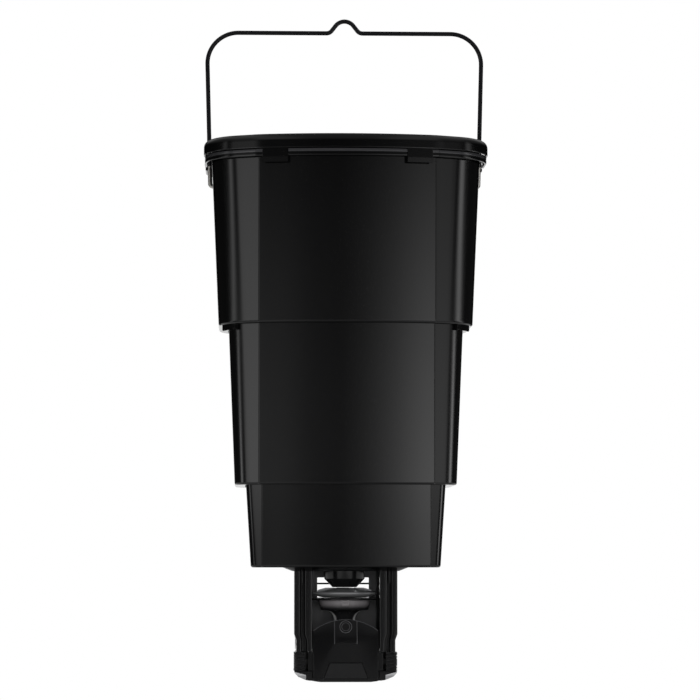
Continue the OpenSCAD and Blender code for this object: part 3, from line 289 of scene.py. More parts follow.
class Plan:
    """The outline of a tier at one level: a bowed panel, a slanted flank and a round corner."""

    def __init__(self, width, depth, panel, corner, level, draft, step=STEP):
        self.base = width / 2, depth / 2, panel / 2, corner
        self.step = step
        self.level, self.draft = level, tan(radians(draft))

    def quarter(self, inset, z):
        wide, deep, panel, corner = self.base
        grow = (z - self.level) * self.draft
        w, d = wide + grow - inset, deep + grow - inset
        tan_f, sin_f, cos_f = tan(FLANK), sin(FLANK), cos(FLANK)
        edge = panel - inset * (1 - sin_f * tan_f - cos_f) / (panel / BOW_R - tan_f)
        flank_x = wide + grow - corner - inset * sin_f
        bow = 2 * (BOW_R - inset)

        def front(x):
            return x * x / bow - d

        foot = front(edge) + self.step
        r = (w - flank_x) / (1 - sin_f)
        run = [(edge * i / 18, front(edge * i / 18)) for i in range(18)]
        if self.step:
            run += [(edge - x, front(edge - x)) for x in (0.0006, 0.0001)]
            run += [(edge + 0.0001, front(edge) + 0.0001), (edge + 0.0005, foot - 0.0001),
                    (edge + 0.0007, foot + 0.0003)]
        start = edge + 0.002
        for i in range(4):
            x = start + (flank_x - start) * i / 4
            run.append((x, foot + (x - edge) * tan_f))
        middle_y = foot + (flank_x - edge) * tan_f + r * cos_f
        for i in range(23):
            a = (pi / 2 - FLANK) * (i / 22 - 1)
            run.append((w - r + r * cos(a), middle_y + r * sin(a)))
        return run + [(w, middle_y * (1 - i / 3)) for i in range(1, 3)]

    def ring(self, inset, z, level=None):
        q = self.quarter(inset, z if level is None else level)
        loop = q + [(x, -y) for x, y in reversed(q)] + [(-x, -y) for x, y in q[1:]]
        loop += [(-x, y) for x, y in reversed(q[1:])]
        return [(x, y, z) for x, y in loop]


@contextlib.contextmanager
def opened(mesh):
    """A mesh as a bmesh, written back when the block ends."""
    work = bmesh.new()
    work.from_mesh(mesh)
    yield work
    work.to_mesh(mesh)
    work.free()


def loft(rings, closed):
    """A skin through rings of equal length. An open one gets a flat cap at each end."""
    count, turns = len(rings[0]), len(rings)
    faces = []
    for i in range(turns if closed else turns - 1):
        a, b = i * count, (i + 1) % turns * count
        faces += [(a + j, b + j, b + (j + 1) % count, a + (j + 1) % count) for j in range(count)]
    if not closed:
        faces += [tuple(range(count)), tuple(reversed(range((turns - 1) * count, turns * count)))]
    mesh = bpy.data.meshes.new("loft")
    mesh.from_pydata([p for ring in rings for p in ring], [], faces)
    with opened(mesh) as work:
        bmesh.ops.recalc_face_normals(work, faces=work.faces)
    return mesh


def fillet(plan, inset, z, r, start, stop, steps=5, level=None):
    """Rings round a rounded edge whose centre is inset and z, from one angle to another."""
    return [plan.ring(-x, up, level) for x, up in bend(-inset, z, r, start, stop, steps)]


def straight(plan, inset, top, bottom, steps):
    """Rings down a plain wall, with one more close to each end to keep the shading flat."""
    levels = [top, top - 0.0006] + [top + (bottom - top) * i / steps for i in range(1, steps)]
    return [plan.ring(inset, z) for z in levels + [bottom + 0.0006, bottom]]


def altered(mesh, kind, **settings):
    """A plain mesh with one modifier applied to it."""
    holder = placed("holder", mesh)
    modifier = holder.modifiers.new("change", kind)
    for key, value in settings.items():
        setattr(modifier, key, value)
    return finished(holder)


def cut(mesh, boxes=(), rods=()):
    """Takes boxes (two corners) and rods (two ends and a radius) out of a mesh."""
    tool = bpy.data.meshes.new("cutter")
    with opened(tool) as work:
        for low, high in boxes:
            size = Vector(high) - Vector(low)
            at = Matrix.Translation((Vector(low) + Vector(high)) / 2) @ Matrix.Diagonal((*size, 1))
            bmesh.ops.create_cube(work, size=1, matrix=at)
        for low, high, r in rods:
            run = Vector(high) - Vector(low)
            turn = run.to_track_quat("Z", "Y").to_matrix().to_4x4()
            at = Matrix.Translation((Vector(low) + Vector(high)) / 2) @ turn
            bmesh.ops.create_cone(work, cap_ends=True, segments=48, radius1=r, radius2=r,
                                  depth=run.length, matrix=at)
        bmesh.ops.recalc_face_normals(work, faces=work.faces)
    cutter = placed("cutter", tool)
    made = altered(mesh, "BOOLEAN", operation="DIFFERENCE", solver="EXACT", object=cutter)
    bpy.data.objects.remove(cutter)
    return made


def joined(name, *meshes):
    """Several meshes as one."""
    made = bpy.data.meshes.new(name)
    with opened(made) as work:
        for mesh in meshes:
            work.from_mesh(mesh)
    return made


def strip(sections, soft):
    """A solid bar through four or more sided sections, with its sharp edges rounded."""
    mesh = loft(sections, False)
    with opened(mesh) as work:
        sharp = [e for e in work.edges if e.calc_face_angle(0) > 0.6]
        bmesh.ops.bevel(work, geom=sharp, offset=soft, segments=2, affect="EDGES")
    return mesh


def moulded(name, grey, rough, grain, sink=0.00012):
    """Black plastic from a mould: faint flow clouds, a fine grain, slow sink and light scuffs."""
    made = Finish(name)
    cloud = made.noise(9, 3, 0.55, (1, 1, 0.35))
    fine = made.noise(1500, 2, 0.6)
    slow = made.noise(13, 1, 0.4, (1, 1, 0.5))
    scuff = made.noise(70, 4, 0.65, (1, 1, 6)).step(0.62, 0.8)
    dark = tuple(grey * k for k in (0.85, 0.86, 0.92)) + (1,)
    pale = tuple(grey * k for k in (1.15, 1.16, 1.22)) + (1,)
    return made.feed(
        Base_Color=cloud.step(0.3, 0.7).mix(dark, pale),
        Roughness=rough - 0.04 + 0.06 * cloud + 0.03 * fine + 0.04 * scuff,
        Normal=made.bump(fine, 0.00003, grain, made.bump(slow, sink, 0.5)),
    )


tub = moulded("satin black tub", 0.0022, 0.13, 0.04)
# The outer face of the rim, between its lowest bead and the web, gets a lighter grey: a painted
# sheen.
painted_rim_sheen = tub.axis("Z").band(RIM_Z + 0.0040, RIM_Z + 0.0048, WEB_Z - 0.0010, WEB_Z - 0.0004)
tub.feed(Base_Color=painted_rim_sheen.mix(tub.colour(), (0.032, 0.032, 0.034, 1)))
upper = Plan(0.3056, UPPER_D, 0.198, UPPER_CORNER, RIM_Z, 2.5)
middle = Plan(0.2663, 0.193, 0.197, 0.017, UPPER_Z, 2.3)
lower = Plan(0.226, 0.156, 0.190, 0.008, MIDDLE_Z, 3.5)


def lip(plan, inner, z, waist):
    """The inward lip that the next tub hangs on, and the wall inside it up to the waist."""
    return [inner.ring(-SLIDE_GAP, z), inner.ring(-SLIDE_GAP, z + LIP_T),
            plan.ring(WALL, z + LIP_T), plan.ring(WALL, waist)]


def rim_rings():
    """The rim from its web round the two beads, and up inside again."""
    reach, bead, mid = -RIM_REACH, 0.0008, (RIM_Z + WEB_Z) / 2
    made = [upper.ring(0, WEB_Z + 0.0006), upper.ring(-0.0006, WEB_Z)]
    made += fillet(upper, reach + bead, WEB_Z - bead, bead, 90, 0, 4, RIM_Z)
    made += fillet(upper, reach + bead / 2, mid + bead, bead / 2, 0, -60, 3, RIM_Z)
    made += [upper.ring(reach + bead, mid + z, RIM_Z) for z in (bead / 4, -bead / 4)]
    made += fillet(upper, reach + bead / 2, mid - bead, bead / 2, 60, 0, 3, RIM_Z)
    made += fillet(upper, reach + bead, RIM_Z + bead, bead, 0, -90, 4, RIM_Z)
    return made + [upper.ring(reach + WALL, z, RIM_Z) for z in (RIM_Z, WEB_Z - WALL)]


tier = fillet(upper, WALL / 2, MOUTH_Z - WALL / 2, WALL / 2, 180, 0, 8) + rim_rings()
tier += [upper.ring(0, WEB_Z - WALL)]
tier += straight(upper, 0, WEB_Z - WALL - 0.001, UPPER_Z + EDGE_R, 10)
tier += fillet(upper, EDGE_R, UPPER_Z + EDGE_R, EDGE_R, 0, -90)
tier += lip(upper, middle, UPPER_Z, waist=-0.26)
rim_notch, notch_x, beyond_x = 0.0144, 0.1529, 0.17
hole_in, hole_out, hole_r = 0.14, 0.16, WIRE_R + SEAT_GAP
notches = [((side * notch_x, -rim_notch, RIM_Z - 0.001),
            (side * beyond_x, rim_notch, WEB_Z + 0.0010)) for side in (-1, 1)]
holes = [((side * hole_in, 0, PIVOT_Z), (side * hole_out, 0, PIVOT_Z), hole_r) for side in (-1, 1)]
tier = cut(loft(tier, True), notches, holes)

corner = upper.quarter(0, UPPER_Z)
turn_r = UPPER_CORNER / (1 - sin(FLANK))
turn_x, turn_y = corner[-3][0] - turn_r, corner[-3][1]
lug_out = turn_r - EDGE_R - STEP
lug_in, lug_low, lug_high = lug_out - 0.0042, UPPER_Z - 0.0065, UPPER_Z + 0.0013
lug_from, lug_to = -12, -50
lug_arcs = [bend(turn_x, turn_y, r, lug_from, lug_to, 10)
            for r in (lug_in, lug_out, lug_out, lug_in)]
lug_levels = lug_low, lug_low, lug_high, lug_high
lugs = [strip([[(side * x, y, z) for (x, y), z in zip(section, lug_levels)]
               for section in zip(*lug_arcs)], 0.0007) for side in (-1, 1)]
fit("upper_tub", joined("upper tub", tier, *lugs), tub, "hopper", "upper_tier")


# Lid: a moulded plate with a raised border and a skirt over the rim. Four tabs hang from the skirt
# and snap under the rim, and each side has a notch for the leg of the bail.
LID_TOP, LID_UNDER, SKIRT_Z = -0.1461, -0.1523, -0.1628
LID_D, LID_ROUND = 0.249, 0.0080
lid_plan = Plan(0.324, LID_D, 0.202, 0.034, 0, 0, 0)
lid_finish = moulded("satin black lid", 0.0022, 0.15, 0.05)
border, recess = 0.022, 0.0025
skin = [lid_plan.ring(inset, z) for inset, z in (
    (border + recess + 0.001, LID_TOP - recess), (border + recess, LID_TOP - recess + 0.0002),
    (border + 0.0003, LID_TOP - 0.0002), (border - 0.0004, LID_TOP), (LID_ROUND + 0.0006, LID_TOP))]
skin += fillet(lid_plan, LID_ROUND, LID_TOP - LID_ROUND, LID_ROUND, 90, 0, 8)
skin += [lid_plan.ring(inset, z) for inset, z in (
    (0, LID_TOP - LID_ROUND - 0.0006), (0, SKIRT_Z + 0.0012), (0, SKIRT_Z + 0.0006),
    (0.0001, SKIRT_Z + 0.0002), (0.0004, SKIRT_Z), (WALL, SKIRT_Z), (WALL, LID_UNDER))]
rib_in, rib_z, rib_top = WALL + SLIDE_GAP, LID_UNDER - 0.006, LID_UNDER + WALL / 2
rib = loft([upper.ring(inset, z, MOUTH_Z) for inset, z in (
    (rib_in, rib_top), (rib_in, rib_z), (rib_in + WALL, rib_z), (rib_in + WALL, rib_top))], True)
swing, lift, below_skirt = radians(20), 0.04, -0.18
notch = tan(swing) * (LID_TOP + lift - PIVOT_Z) + WIRE_R / cos(swing) + 0.001
notches = [((side * notch_x, -notch, below_skirt), (side * beyond_x, notch, LID_TOP + 0.001))
           for side in (-1, 1)]
skin = cut(loft(skin, False), notches)

tab_x, tab_w, tab_z, tab_top = 0.0812, 0.0288, RIM_Z - 0.0073, LID_UNDER - WALL
tabs = []
for sx in (-1, 1):
    for sy in (-1, 1):
        sections = []
        for i in range(13):
            x = tab_x + tab_w * (i / 12 - 0.5)
            bow = x * x / (2 * BOW_R)
            out, back = bow - LID_D / 2 + 0.0001, bow - UPPER_D / 2 - RIM_REACH - 0.0004
            sections.append([(sx * x, sy * y, z) for y, z in (
                (out + 0.001, tab_top), (out + 0.001, SKIRT_Z + 0.0006), (out, SKIRT_Z + 0.0001),
                (out, RIM_Z - 0.0012), (out + 0.0007, RIM_Z - 0.0016), (out + 0.0009, tab_z),
                (back, tab_z), (back, tab_top))])
        tabs.append(strip(sections, 0.0003))
fit("lid_cap", joined("lid cap", skin, rib, *tabs), lid_finish, "lid", "lid")


# Middle tier: a second tub that hangs in the first one by an outward flange on its inward lip, so
# that it slides up into it for storage.
mid_tub = moulded("satin black middle tub", 0.0022, 0.12, 0.04)


def hung_tub(plan, outer, top_z, bottom_z):
    """The flange and wall of a tub that hangs in another, down to the rounded lower edge."""
    rest = top_z + LIP_T + SEAT_GAP
    crown = rest + LIP_T
    made = [plan.ring(WALL, crown), outer.ring(WALL + SLIDE_GAP + STEP, crown, rest),
            outer.ring(WALL + SLIDE_GAP, crown - STEP, rest), outer.ring(WALL + SLIDE_GAP, rest),
            plan.ring(0, rest), plan.ring(0, rest - 0.0008)]
    made += straight(plan, 0, top_z, bottom_z + EDGE_R, 10)
    return made + fillet(plan, EDGE_R, bottom_z + EDGE_R, EDGE_R, 0, -90)


tier = hung_tub(middle, upper, UPPER_Z, MIDDLE_Z)
tier += lip(middle, lower, MIDDLE_Z, waist=-0.44)
fit("middle_tub", loft(tier, True), mid_tub, "middle", "middle_tier")


# Lower tier: the shortest tub, with a floor that has a round throat hole and four screw holes. It
# hangs in the middle tub and carries the spreader unit.
FLOOR_Z, THROAT_R = LOWER_Z + 0.0024, 0.0231
SCREW_X, SCREW_Y, SHANK_R = 0.0495, 0.043, 0.00175
low_tub = moulded("satin black lower tub", 0.0022, 0.13, 0.04)


def drilled(places, low, high, r):
    """Upright rods for cut(), one at each place."""
    return [((x, y, low), (x, y, high), r) for x, y in places]


tier = [lower.ring(WALL + EDGE_R, FLOOR_Z)]
tier += list(reversed(fillet(lower, WALL + EDGE_R, FLOOR_Z + EDGE_R, EDGE_R, 0, -90)))
tier += list(reversed(straight(lower, WALL, MIDDLE_Z, FLOOR_Z + EDGE_R + 0.001, 4)))
tier += hung_tub(lower, middle, MIDDLE_Z, LOWER_Z)
corners = [(sx * SCREW_X, sy * SCREW_Y) for sx in (-1, 1) for sy in (-1, 1)]
holes = drilled(corners, LOWER_Z - 0.001, FLOOR_Z + 0.001, SHANK_R)
holes += drilled([(0, 0)], LOWER_Z - 0.001, FLOOR_Z + 0.001, THROAT_R + 0.0004)
fit("lower_tub", cut(loft(tier, False), (), holes), low_tub, "lower",
    "lower_tier")


# Feed funnel: a moulded plate that lies on the floor of the lower tier, with a dished mouth, a ring
# through the throat hole and a short cone that drops the feed on the spinner.
PLATE_Z = FLOOR_Z + 0.002
hard = moulded("hard black moulding", 0.004, 0.19, 0.08, 0.00006)


def circle(r, z, count=96):
    return [(r * cos(2 * pi * i / count), r * sin(2 * pi * i / count), z) for i in range(count)]


def soft_square(width, depth, r, z):
    """Points on a rectangle with round corners, each on its own ray from the middle."""
    made = []
    cx, cy = width / 2 - r, depth / 2 - r
    for dx, dy, _ in circle(1, z):
        reach = min(width / 2 / max(abs(dx), 1e-9), depth / 2 / max(abs(dy), 1e-9))
        if abs(dx) * reach > cx and abs(dy) * reach > cy:
            along = cx * abs(dx) + cy * abs(dy)
            reach = along + sqrt(max(along * along - cx * cx - cy * cy + r * r, 0))
        made.append((dx * reach, dy * reach, z))
    return made


def eased(profile, r, steps=3):
    """A closed profile of radius and height with each corner rounded by about r."""
    made = []
    for i, at in enumerate(profile):
        here = Vector(at)
        before = Vector(profile[i - 1]) - here
        after = Vector(profile[(i + 1) % len(profile)]) - here
        start = here + before * min(r / before.length, 0.45)
        stop = here + after * min(r / after.length, 0.45)
        for k in range(steps + 1):
            t = k / steps
            made.append(tuple(start * (1 - t) ** 2 + here * 2 * t * (1 - t) + stop * t * t))
    return made


def turned(profile, count=96):
    """A ring turned on the axis from a closed profile."""
    return loft([circle(r, z, count) for r, z in profile], True)


ring_z, cone_z = LOWER_Z - 0.013, LOWER_Z - 0.0225
plate_w, plate_d, plate_r, soft = 0.12, 0.104, 0.008, 0.0004
rings = [soft_square(plate_w, plate_d, plate_r, z) for z in (FLOOR_Z, PLATE_Z - soft)]
rings.append(soft_square(plate_w - 0.0006, plate_d - 0.0006, plate_r - 0.0003, PLATE_Z))
rings += [circle(r, z) for r, z in (
    (THROAT_R + 0.0144, PLATE_Z), (THROAT_R + 0.0136, PLATE_Z - 0.0003),
    (THROAT_R - 0.0012, FLOOR_Z), (THROAT_R - 0.0016, FLOOR_Z - soft),
    (THROAT_R - 0.0016, ring_z + 0.0006), (THROAT_R - 0.002, ring_z), (0.0124, cone_z + soft),
    (0.0125, cone_z + 0.0001), (0.0138, cone_z), (0.0141, cone_z + 0.0003),
    (THROAT_R - soft, ring_z - 0.0002), (THROAT_R, ring_z + 0.0005), (THROAT_R, FLOOR_Z - 0.0004))]
holes = drilled(corners, FLOOR_Z - 0.001, PLATE_Z + 0.001, SHANK_R)
fit("funnel", cut(loft(rings, True), (), holes), hard, "lower", "feed_funnel")


# Spreader frame: a bevelled flange under the hopper's floor with four grooved posts, side walls and
# a rear wall with a window, in one hard black moulding. A boss in each front groove takes a screw.
HALF_W, HALF_D, POST_IN, POST_D = 0.05825, 0.052, 0.03825, 0.018
GROOVE_X, GROOVE_W, GROOVE_D = 0.04625, 0.0055, 0.0135
POST_Z, POST_TOP, POST_BEND, POST_STEP = -0.7260, -0.6335, -0.7058, 0.0024
FRAME_SCREW = 0.0212


def rounded(node, width, angle=28, without=(), clamp=False):
    """A copy of a CAD node, less some boxes, with its doubles merged and its edges rounded."""
    mesh = nodes[node].data.copy()
    if without:
        mesh = cut(mesh, without)
    with opened(mesh) as work:
        bmesh.ops.remove_doubles(work, verts=work.verts, dist=0.00001)
        bmesh.ops.dissolve_limit(work, angle_limit=radians(1), verts=work.verts, edges=work.edges)
        bmesh.ops.connect_verts_concave(work, faces=work.faces)
    mesh.shade_smooth()
    mesh = altered(mesh, "BEVEL", width=width, segments=3, limit_method="ANGLE",
                   angle_limit=radians(angle), miter_outer="MITER_ARC", use_clamp_overlap=clamp)
    mesh.shade_smooth()
    return altered(mesh, "WEIGHTED_NORMAL", weight=50, keep_sharp=False)


def post_section(side, z, narrow, shift, shrink=0.0):
    """Plan of a front post: a ridge, a groove and an outer band set back, with rounded corners."""
    inner, outer, front = POST_IN + shrink, HALF_W - narrow - shrink, shrink - HALF_D
    ridge, band = GROOVE_X - shift, GROOVE_X + GROOVE_W - narrow * 0.6
    deep, set_back, rear = front + GROOVE_D, front + 0.0015, POST_D - HALF_D
    plan = [(inner, rear), (inner, front), (ridge, front), (ridge + 0.0004, deep),
            (band - 0.0004, deep), (band, set_back), (outer, set_back), (outer, rear)]
    return [(side * x, y, z) for x, y in eased(plan, 0.0011, 4)]


posts = []
for side in (-1, 1):
    posts.append(loft([post_section(side, *level) for level in (
        (POST_TOP, 0, 0), (POST_BEND, 0, 0), (POST_BEND - 0.0034, POST_STEP * 0.5, 0.0012),
        (POST_BEND - 0.0068, POST_STEP, 0.0024), (POST_Z + 0.0011, POST_STEP, 0.0028),
        (POST_Z + 0.0005, POST_STEP, 0.0028), (POST_Z, POST_STEP, 0.0028, 0.0004))], False))
near_x, past_x, past_y, past_z, flange_z = POST_IN - 0.0002, 0.07, -0.06, -0.73, -0.6349
gone = [((left, past_y, past_z), (right, POST_D - HALF_D - 0.0001, flange_z))
        for left, right in ((-past_x, -near_x), (near_x, past_x))]
boss_r, boss_z = 0.0036, PLATE_Z - FRAME_SCREW - 0.001
for side in (-1, 1):
    boss = loft([circle(boss_r, z, 32) for z in (boss_z, POST_TOP)], False)
    boss.transform(Matrix.Translation((side * SCREW_X, -SCREW_Y, 0)))
    posts.append(boss)
frame_mesh = joined("frame", rounded("unit_frame", 0.0007, without=gone), *posts)
shell = moulded("hard black frame", 0.004, 0.19, 0.08, 0.00006)
# The rear wall between the posts gets a lighter, mottled grey: painted light, standing in for the
# light it catches.
on_posts = abs(shell.axis("X")).step(0.0378, 0.0384)
on_wall = shell.axis("Y").step(0.02, 0.03) * (1 - on_posts)
painted_wall_light = shell.noise(40, 3).mix((0.045, 0.045, 0.047, 1), (0.06, 0.06, 0.062, 1))
shell.feed(Base_Color=on_wall.mix(shell.colour(), painted_wall_light))
fit("frame", frame_mesh, shell, "lower", "unit_frame", crease=40)


# Guard bar: a thin steel rod in black enamel, set across the rear window, so that no paw reaches
# through to the spinner.
enamel = moulded("black enamelled rod", 0.005, 0.24, 0.05, 0.00004)
guard_x, guard_y, guard_z, guard_r = 0.034, 0.0505, -0.6495, 0.001
guard = trace([(x, guard_y, guard_z) for x in (-guard_x, guard_x)])
fit("guard", wire.run(guard, Radius=guard_r, Sides=20, Material=enamel.material),
    enamel, "lower", "guard_bar")


# Frame screws: zinc plated pan heads with a cross, driven from inside the hopper through plate and
# floor into the posts.
zinc = Finish("zinc plate", Metallic=1.0)
turning = zinc.noise(900, 3, 0.6)
stain = zinc.noise(120, 3)
zinc.feed(
    Base_Color=stain.mix((0.50, 0.52, 0.55, 1), (0.68, 0.68, 0.67, 1)),
    Roughness=0.2 + 0.14 * turning + 0.12 * stain,
    Normal=zinc.bump(turning, 0.00003, 0.3),
)
copies = Recipe("copies at places", Part="Object", Turn="Vector", Material="Material")
part = copies.node("GeometryNodeObjectInfo", None, {"Object": copies.given["Part"]}, out="Geometry")
copies.end(copies.node("GeometryNodeInstanceOnPoints", None, {
    "Points": copies.given["Geometry"], "Instance": part, "Rotation": copies.given["Turn"]}))


def at_places(mesh, places, finish, turn=(0, 0, 0)):
    """One mesh with a turned copy of a part at each place."""
    sample = bpy.data.objects.new("sample", mesh)
    made = copies.run(trace(places, False), Part=sample, Turn=turn, Material=finish.material)
    bpy.data.objects.remove(sample)
    return made


def screw(head, rise, shank, length):
    """A pan head screw with a cross recess, its seat at the origin and its shank down."""
    low = length * 0.93
    rings = [(shank * 0.6, -length), (shank, -low), (shank, 0), (head - 0.0001, 0), (head, 0.0001)]
    rings += [(head, rise * 0.4), (head * 0.95, rise * 0.7), (head * 0.8, rise * 0.92),
              (head * 0.6, rise)]
    made = loft([circle(r, z, 32) for r, z in rings], False)
    long, short = head * 0.6, head * 0.14
    for x, y in ((long, short), (short, long)):
        made = cut(made, [((-x, -y, rise * 0.45), (x, y, rise + 0.001))])
    return made


def screw_set(kind, body, places, head, rise, shank, length, turn=(0, 0, 0)):
    mesh = at_places(screw(head, rise, shank, length), places, zinc, turn)
    fit(kind + "_screw_set", mesh, zinc, body, kind + "_screws", crease=30)


screw_set("frame", "lower", [(x, y, PLATE_Z) for x, y in corners],
          head=0.0035, rise=0.0022, shank=SHANK_R, length=FRAME_SCREW)


# Spinner: a low dome over a shallow bowl, pressed from aluminium sheet. Four fins are spot welded
# on the dome, and a turned hub with a set screw holds it on the motor's shaft.
DECK_Z = LOWER_Z - 0.0346
DISH_Z, SPIN_R, SHEET = DECK_Z + 0.0008, 0.0355, 0.0008
HUB_R, HUB_BORE, COLLAR_R, HUB_TOP = 0.005, 0.00155, 0.008, DISH_Z + 0.008
metal = Finish("pressed spinner sheet", Metallic=0.55)
rolled = metal.noise(420, 4, 0.6, (1, 5, 1))
haze = metal.noise(60, 3)
metal.feed(
    Base_Color=haze.mix((0.22, 0.225, 0.23, 1), (0.36, 0.365, 0.37, 1)),
    Roughness=0.24 + 0.12 * rolled + 0.1 * haze,
    Normal=metal.bump(rolled, 0.00004, 0.35),
)
bowl_z, rim_z, crown_z = DECK_Z + 0.0003, DECK_Z + 0.0060, DECK_Z + 0.0118
flat_r, seam_z = 0.56 * SPIN_R, rim_z - 0.0004


def dome_at(r):
    """Height of the dome at a radius."""
    return rim_z + (crown_z - rim_z) * (1 - (r / SPIN_R) ** 2)


dish = [(HUB_R + 0.0001, bowl_z), (flat_r, bowl_z)]
dish += [(flat_r + (SPIN_R - flat_r) * sin(a), seam_z - (seam_z - bowl_z) * cos(a))
         for a in (pi / 2 * i / 10 for i in range(1, 10))]
dish += [(SPIN_R - 0.0002, seam_z), (SPIN_R, rim_z), (SPIN_R - 0.0002, rim_z + 0.0004)]
dish += [(r, dome_at(r)) for r in (SPIN_R * k / 12 for k in range(11, 2, -1))]
dish += [(HUB_R + 0.0001, dome_at(HUB_R))]
fin_from, fin_to = HUB_R + 0.007, SPIN_R - 0.0025
fin_run = [fin_from + (fin_to - fin_from) * i / 8 for i in range(9)]
fin_side = [(r, dome_at(r) - 0.0004) for r in fin_run]
fin_side += [(r, min(dome_at(r) + 0.0022, cone_z - 0.0005)) for r in reversed(fin_run)]
blade = loft([[(r, y, z) for r, z in fin_side] for y in (-SHEET / 2, SHEET / 2)], False)
foot_w, foot_low, foot_top = 0.0036, -0.0002, SHEET * 0.6
foot = loft([[(r, y, dome_at(r) + z) for y, z in (
    (0, foot_low), (foot_w, foot_low), (foot_w, foot_top), (0, foot_top))]
    for r in fin_run[1:-1]], False)
fins = Recipe("fins round a hub", Count="Int", First="Float", Material="Material")
spots = fins.node("GeometryNodeMeshLine", None,
                  {"Count": fins.given["Count"], "Offset": (0, 0, 0)})
share = fins.math("DIVIDE", 2 * pi, fins.given["Count"])
turn = fins.math("MULTIPLY", fins.node("GeometryNodeInputIndex"), share)
turn = fins.math("ADD", turn, fins.given["First"])
turn = fins.node("ShaderNodeCombineXYZ", None, {"Z": turn})
fins.end(fins.node("GeometryNodeInstanceOnPoints", None,
                   {"Points": spots, "Instance": fins.given["Geometry"], "Rotation": turn}))
blades = fins.run(joined("fin", blade, foot), Count=4, First=radians(20), Material=metal.material)
fit("spinner_dish", joined("spinner dish", turned(dish), blades), metal, "spinner",
    "spinner_plate", crease=30)

collar_z, collar_top = DISH_Z + SHEET, DISH_Z + SHEET + 0.0014
set_z, set_r = HUB_TOP - 0.003, 0.0015
hub = [(HUB_BORE, DISH_Z), (HUB_R, DISH_Z), (HUB_R, collar_z), (COLLAR_R, collar_z),
       (COLLAR_R, collar_top), (HUB_R, collar_top), (HUB_R, HUB_TOP), (HUB_BORE, HUB_TOP)]
hub = cut(turned(eased(hub, 0.0003), 64), (), [((0, -0.009, set_z), (0, 0, set_z), set_r)])
lathe = Finish("turned hub", Metallic=1.0)
marks = lathe.noise(700, 3, 0.6, (0.4, 0.4, 6))
lathe.feed(Base_Color=marks.mix((0.34, 0.35, 0.37, 1), (0.52, 0.53, 0.55, 1)),
           Roughness=0.24 + 0.16 * marks, Normal=lathe.bump(marks, 0.00003, 0.4))
fit("spinner_boss", hub, lathe, "spinner", "spinner_hub", crease=30)


def dress(finish, *names):
    """Gives carried-over CAD nodes a finish."""
    for name in names:
        nodes[name].data.materials.clear()
        nodes[name].data.materials.append(finish.material)


dress(zinc, "hub_set_screw", "motor_shaft")


# Motor tower: a black moulding with a deck disc under the spinner, a drum and a trumpet neck. The
# small can motor sits inside it, held by two screws from above, and four screws hold its foot.
BOX_Z = LOWER_Z - 0.0709
DECK_R, DECK_T, DRUM_R, DRUM_H, NECK_R, FLARE_R = 0.0372, 0.0025, 0.0298, 0.0112, 0.0123, 0.0113
FOOT_R, FOOT_T, FOOT_RING, BORE_R, EYE_R = 0.019, 0.0022, 0.0158, 0.0104, 0.0032
SMALL_SHANK, SMALL_HEAD, HEAD_SINK, MOTOR_X = 0.00125, 0.0025, 0.0014, 0.007
drum_top = DECK_Z - DECK_T
drum_z = drum_top - DRUM_H
neck_z, motor_z = drum_z - FLARE_R, drum_top - 0.003
round_r = DECK_T / 2
foot_z = BOX_Z + FOOT_T
profile = eased([(BORE_R, BOX_Z), (FOOT_R, BOX_Z), (FOOT_R, foot_z), (NECK_R, foot_z)], 0.0005)[3:]
profile += [(NECK_R, neck_z - 0.004)] + bend(NECK_R + FLARE_R, neck_z, FLARE_R, 180, 90, 16)
profile += [(DRUM_R - 0.0032, drum_z), (DRUM_R - 0.0026, drum_z + 0.0002),
            (DRUM_R - 0.0023, drum_z + 0.0007), (DRUM_R - 0.0002, drum_top - 0.0006),
            (DRUM_R, drum_top - 0.0002), (DRUM_R + 0.0006, drum_top),
            (DECK_R - round_r - 0.0005, drum_top)]
profile += bend(DECK_R - round_r, DECK_Z - round_r, round_r, -90, 90, 12)
profile += [(DECK_R - round_r - 0.0005, DECK_Z), (EYE_R + 0.0002, DECK_Z), (EYE_R, DECK_Z - 0.0002),
            (EYE_R, motor_z + 0.0002), (BORE_R, motor_z + 0.0002)]
feet = [(x, y) for x, y, _ in circle(FOOT_RING, 0, 8)[1::2]]
motor_spots = [(-MOTOR_X, 0), (MOTOR_X, 0)]
holes = drilled(feet, BOX_Z - 0.001, BOX_Z + 0.004, SMALL_SHANK)
for spot in motor_spots:
    holes += drilled([spot], motor_z - 0.001, DECK_Z + 0.001, SMALL_SHANK)
    holes += drilled([spot], DECK_Z - HEAD_SINK, DECK_Z + 0.001, SMALL_HEAD)
tower = cut(turned(profile), (), holes)

key_x, key_z, key_top, slot_x = 0.0045, drum_top - 0.007, DECK_Z - round_r, 0.0029
key = strip([[(-key_x, y, key_z), (key_x, y, key_z), (key_x, y, key_top), (-key_x, y, key_top)]
             for y in (-DRUM_R - 0.0008, -DRUM_R + 0.0032)], 0.0004)
key = cut(key, [((-slot_x, -DRUM_R - 0.002, key_z + 0.0032),
                 (slot_x, -DRUM_R + 0.0008, drum_top - 0.0016))])
gloss_hard = moulded("smooth black moulding", 0.008, 0.2, 0.05, 0.00004)
up, fore = gloss_hard.axis("Z"), gloss_hard.axis("Y") * -1
